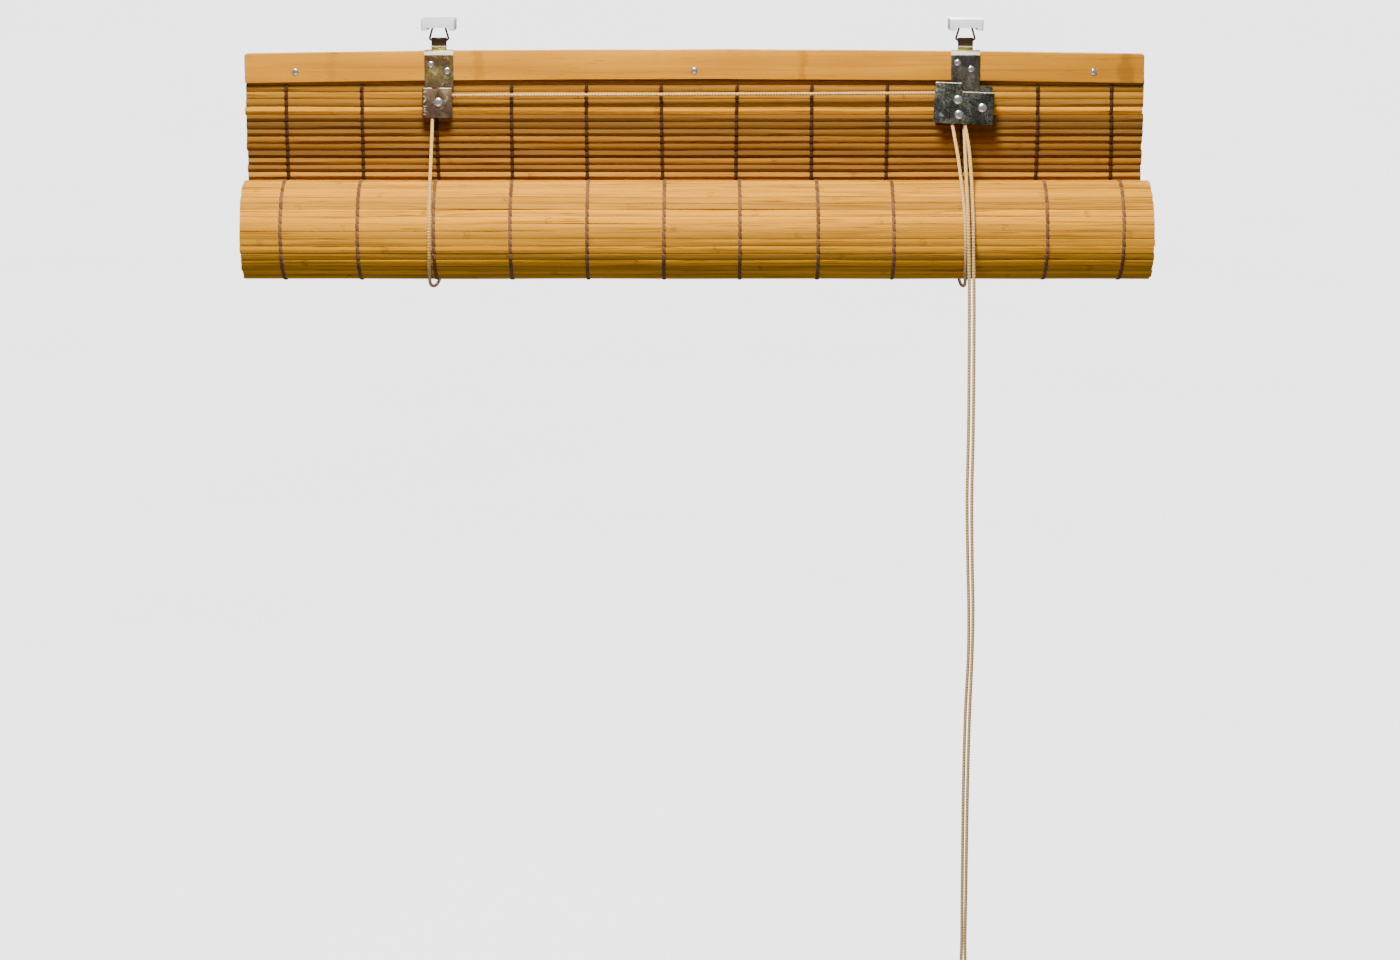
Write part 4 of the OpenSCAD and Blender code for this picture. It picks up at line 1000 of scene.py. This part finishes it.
def make_mat():
    slats = slat_growth()
    outer = HANG_COUNT + OUTER_SLATS
    # The hanging slats take a darker range of random tones than the rolled ones: painted shade on the hanging
    # mat
    hanging = slats.grow("slats_hanging", slat_points(0, HANG_COUNT), {
        "Slat height": 0.0076, "Crown": 0.0018, "Tilt": 0.12, "Waviness": 0.0006,
        "Darkest": -0.42, "Lightest": 0.42})
    rolled = slats.grow("slats_outer_turns", slat_points(HANG_COUNT, outer), {
        "Slat height": 0.0066, "Crown": 0.00035, "Tilt": 0.035, "Waviness": 0.0006})
    inner = slats.grow("slats_inner_turns", slat_points(outer, len(BOUNDS) - 1), {
        "Pieces along": 1, "Crown": 0.0004, "Tilt": 0.02, "Waviness": 0.0})
    for piece in (hanging, rolled, inner):
        shade(piece, 40)
    belongs(hanging, "blind", "slat_bamboo", "mat_hanging")
    belongs(rolled, "blind", "slat_bamboo", "mat_roll")
    belongs(inner, "blind", "slat_bamboo", "mat_roll")
    stitches = stitch_growth()
    # Painted light on the stitches: little on the hanging mat's front, more on its back, the most on the roll
    front = stitches.grow("threads_front", stitch_points(FIRST_STITCH, HANG_COUNT, 0.15), {
        "Height over slat": 0.0030, "Dip in gap": 0.0016, "Stitch length": 0.0076})
    back = stitches.grow("threads_back", stitch_points(FIRST_STITCH, HANG_COUNT, 0.6), {
        "Side": 1.0, "Height over slat": 0.0015})
    stitched = stitch_points(HANG_COUNT, HANG_COUNT + STITCHED_SLATS, 1.0, 0.25)
    around = stitches.grow("threads_roll_stitches", stitched, {
        "Side": 1.0, "Height over slat": 0.0012, "Dip in gap": 0.0007, "Stitch length": 0.0074})
    for piece, nodes in ((front, ["threads_hanging"]), (back, []), (around, ["threads_roll"])):
        shade(piece, 70)
        belongs(piece, "blind", "binding_thread", *nodes)


make_mat()


# Battens
def arc(cx, cy, r, start, end, steps):
    angles = [math.radians(start + (end - start) * i / steps) for i in range(steps + 1)]
    return [(cx + r * math.cos(a), cy + r * math.sin(a)) for a in angles]


def make_head_batten(name, y0, y1, node, seed):
    """A long bowed board with rounded corners and softened edges, drawn in front view from y0 to y1."""
    chance = random.Random(seed)
    w, r, n = BLIND_W / 2, 2.0, 48
    wave = [chance.uniform(-1, 1) for _ in range(6)]

    def uneven(x, k):
        return 0.18 * (wave[k] * math.sin(x / 47 + k) + wave[k + 1] * math.sin(x / 19 + 2 * k))

    outline = []
    for i in range(n + 1):
        x = (w - r) * (1 - 2 * i / n)
        outline.append((MID_X + x, bow_z(x) + uneven(x, 0) * (1 - abs(x) / w)))
    outline += arc(MID_X - w + r, bow_z(w) - r, r, 105, 180, 4)
    outline += arc(MID_X - w + r, bow_z(w) - BATTEN_H + r, r, 180, 255, 4)
    for i in range(n + 1):
        x = (w - r) * (2 * i / n - 1)
        outline.append((MID_X + x, bow_z(x) - BATTEN_H + uneven(x, 2) * (1 - abs(x) / w)))
    outline += arc(MID_X + w - r, bow_z(w) - BATTEN_H + r, r, -75, 0, 4)
    outline += arc(MID_X + w - r, bow_z(w) - r, r, 0, 75, 4)
    count = len(outline)
    verts = [(x * mm, y * mm, z * mm) for y in (y0, y1) for x, z in outline]
    faces = [tuple(range(count))[::-1], tuple(range(count, 2 * count))]
    faces += [(i, (i + 1) % count, count + (i + 1) % count, count + i) for i in range(count)]
    board = new_object(name, verts, faces, BATTEN)
    point_out(board)
    soften(board, 0.5, 3, 50)
    return belongs(board, "blind", "batten_bamboo", node)


def point_out(obj):
    """Turn a closed mesh's faces outward."""
    work = bmesh.new()
    work.from_mesh(obj.data)
    bmesh.ops.recalc_face_normals(work, faces=work.faces)
    work.to_mesh(obj.data)
    work.free()


make_head_batten("head_batten_front_board", -5.7, -0.9, "head_batten_front", 1)
make_head_batten("head_batten_back_board", 0.9, 5.7, "head_batten_back", 2)
bottom = copy_nodes("bottom_battens", ["bottom_batten_outer", "bottom_batten_inner"], BATTEN, 0.5)
belongs(bottom, "blind", "batten_bamboo", "bottom_batten_outer", "bottom_batten_inner")


# Rivets
def rivet_growth():
    g = Growth("domed_rivets", {
        "Head radius": 0.003, "Dome height": 0.00126, "Pit radius": 0.22, "Pit depth": 0.0002,
        "Shank radius": 0.0015, "Grip": 0.0114, "Tail height": 0.0009, "Finish": RIVET})
    ball = g.ball(32, 20)
    x, y, z = g.position()
    radius = g.func("SQRT", x * x + y * y)
    pit = (1 - g.smooth(radius, 0.0, g.input("Pit radius"))) * g.input("Pit depth") * (z > 0.0)
    height = g.func("MAXIMUM", z, 0.0) ** 0.8 * g.input("Dome height") - pit
    dome = g.shaped(ball, g.join(x * g.input("Head radius"), y * g.input("Head radius"), height))
    shank = g.rod(20, g.input("Shank radius"), g.input("Grip"))
    middle = g.join(0.0, 0.0, g.input("Grip") * -0.5)
    shank = g.add("GeometryNodeTransform", {}, {"Geometry": shank, "Translation": middle})
    tail = g.ball(24, 10)
    x, y, z = g.position()
    tail = g.shaped(tail, g.join(
        x * 1.5 * g.input("Shank radius"), y * 1.5 * g.input("Shank radius"),
        g.func("MINIMUM", z, 0.0) * g.input("Tail height") - g.input("Grip")))
    whole = g.tree.nodes.new("GeometryNodeJoinGeometry")
    for part in (dome, shank, tail):
        g.tree.links.new(part.socket, whole.inputs[0])
    spin = g.named("spin")
    lean = g.join(spin * 0.04 + math.pi / 2, spin * 0.03, 0.0)
    grown = g.planted(Wire(g, whole.outputs[0]), Rotation=lean)
    g.close(grown, g.input("Finish"))
    return g


def make_rivets():
    g = rivet_growth()

    def row(name, places, y, grip, head, shank, nodes, tilt=1.0):
        points = [{"at": (x * mm, y * mm, z * mm), "spin": tilt * math.sin(3.1 * i + x)}
                  for i, (x, z) in enumerate(places)]
        piece = g.grow(name, points, {
            "Head radius": head * mm, "Dome height": head * 0.45 * mm,
            "Shank radius": shank * mm, "Grip": grip * mm})
        shade(piece, 50)
        belongs(piece, "blind", "rivet_steel", *nodes)

    left = [(LEFT_X - 7.2, SHELF_Z - 11.6), (LEFT_X + 7.2, SHELF_Z - 17.4)]
    right = [(RIGHT_X - 7.1, SHELF_Z - 10.2), (RIGHT_X + 5.0, SHELF_Z - 15.8)]
    head = [(MID_X - 355, SHELF_Z - 18.4), (MID_X, SHELF_Z - 17.2), (MID_X + 355, SHELF_Z - 18.4)]
    pulley = [(-234.5, -73.4)]
    lock = [(226.9, -70.9), (227.9, -84.1), (248.6, -78.1)]
    row("rivets_bracket_left", left, -6.9, 12.6, 3.0, 1.5, ["bracket_left_rivets"])
    row("rivets_bracket_right", right, -6.9, 12.6, 3.0, 1.5, ["bracket_right_rivets"])
    row("rivets_head_battens", head, -5.7, 11.4, 3.0, 1.5, ["head_batten_rivets"])
    row("axle_pulley", pulley, -13.9, 8.2, 4.1, 2.0, ["pulley_left_axle"], 0.2)
    row("axles_lock", lock, -16.7, 11.0, 4.1, 2.0,
        ["lock_roller_upper_axle", "lock_roller_lower_axle", "lock_cam_axle"], 0.2)


make_rivets()


# Brackets, rings and caps
for name, node, finish, slot, bevel in (
        ("bracket_left_sheet", "bracket_left", PLATE, "bracket_plating", 0.4),
        ("bracket_right_sheet", "bracket_right", ZINC, "lock_plating", 0.4),
        ("lock_front_sheet", "lock_front_plate", ZINC, "lock_plating", 0.45)):
    belongs(copy_nodes(name, [node], finish, bevel), "blind", slot, node)
for side in ("left", "right"):
    cap = copy_nodes(f"cap_{side}_moulding", [f"cap_{side}"], CAP, 0.55, 3)
    belongs(cap, "caps", "cap_plastic", f"cap_{side}")
repaint(STEEL, "pulley_left", "lock_roller_upper", "lock_roller_lower", "lock_cam")
repaint(RIVET, "cord_staples")


def ring_way(x):
    """The closed line of a hook ring: narrow bar on top, slanting sides, wide bar below."""
    half_top, half_low, bend, height = 4.7, 8.8, 1.7, 14.4
    flare = math.degrees(math.atan((half_low - half_top) / height))
    top_cut = bend * math.tan(math.radians((90 - flare) / 2))
    low_cut = bend * math.tan(math.radians((90 + flare) / 2))
    half = [(2.0, RING_TOP_Z)] + arc(half_top - top_cut, RING_TOP_Z - bend, bend, 90, flare, 8)
    for i in range(1, 8):
        share = 0.1 + 0.75 * i / 8
        half.append((half_top + (half_low - half_top) * share, RING_TOP_Z - height * share))
    half += arc(half_low - low_cut, HOOK_Z + bend, bend, flare, -90, 10) + [(4.0, HOOK_Z), (0.0, HOOK_Z)]
    mirrored = [(-px, pz) for px, pz in half[:-1]][::-1]
    return [Vector((x + px, 0, pz)) * mm for px, pz in half + mirrored]


for side, x in (("left", LEFT_X), ("right", RIGHT_X)):
    ring = tube(f"hook_ring_{side}", ring_way(x), 0.95 * mm, WIRE, 16, closed=True)
    belongs(ring, f"ring_{side}", "hook_wire", f"ring_{side}")


# Floor, in metres
FLOOR_Z, FLOOR_SIDES = -2.4, 72


def make_floor():
    """A round floor that curves up at its rim like a studio cove."""
    rings = [(0.01, 0), (12, 0), (20, 0)]
    for a in range(10, 91, 10):
        rings.append((20 + 12 * math.sin(math.radians(a)), 12 - 12 * math.cos(math.radians(a))))
    rings += [(32, 40), (24, 55), (0.01, 60)]
    verts = []
    for r, h in rings:
        for k in range(FLOOR_SIDES):
            a = math.tau * k / FLOOR_SIDES
            verts.append((r * math.cos(a), r * math.sin(a), FLOOR_Z + h))
    faces = []
    for low in range(0, (len(rings) - 1) * FLOOR_SIDES, FLOOR_SIDES):
        high = low + FLOOR_SIDES
        for k in range(FLOOR_SIDES):
            m = (k + 1) % FLOOR_SIDES
            faces.append((low + k, low + m, high + m, high + k))
    floor = new_object("floor", verts, faces, pale_floor())
    floor.visible_diffuse = False
    floor.visible_glossy = False
    floor.visible_shadow = False


make_floor()
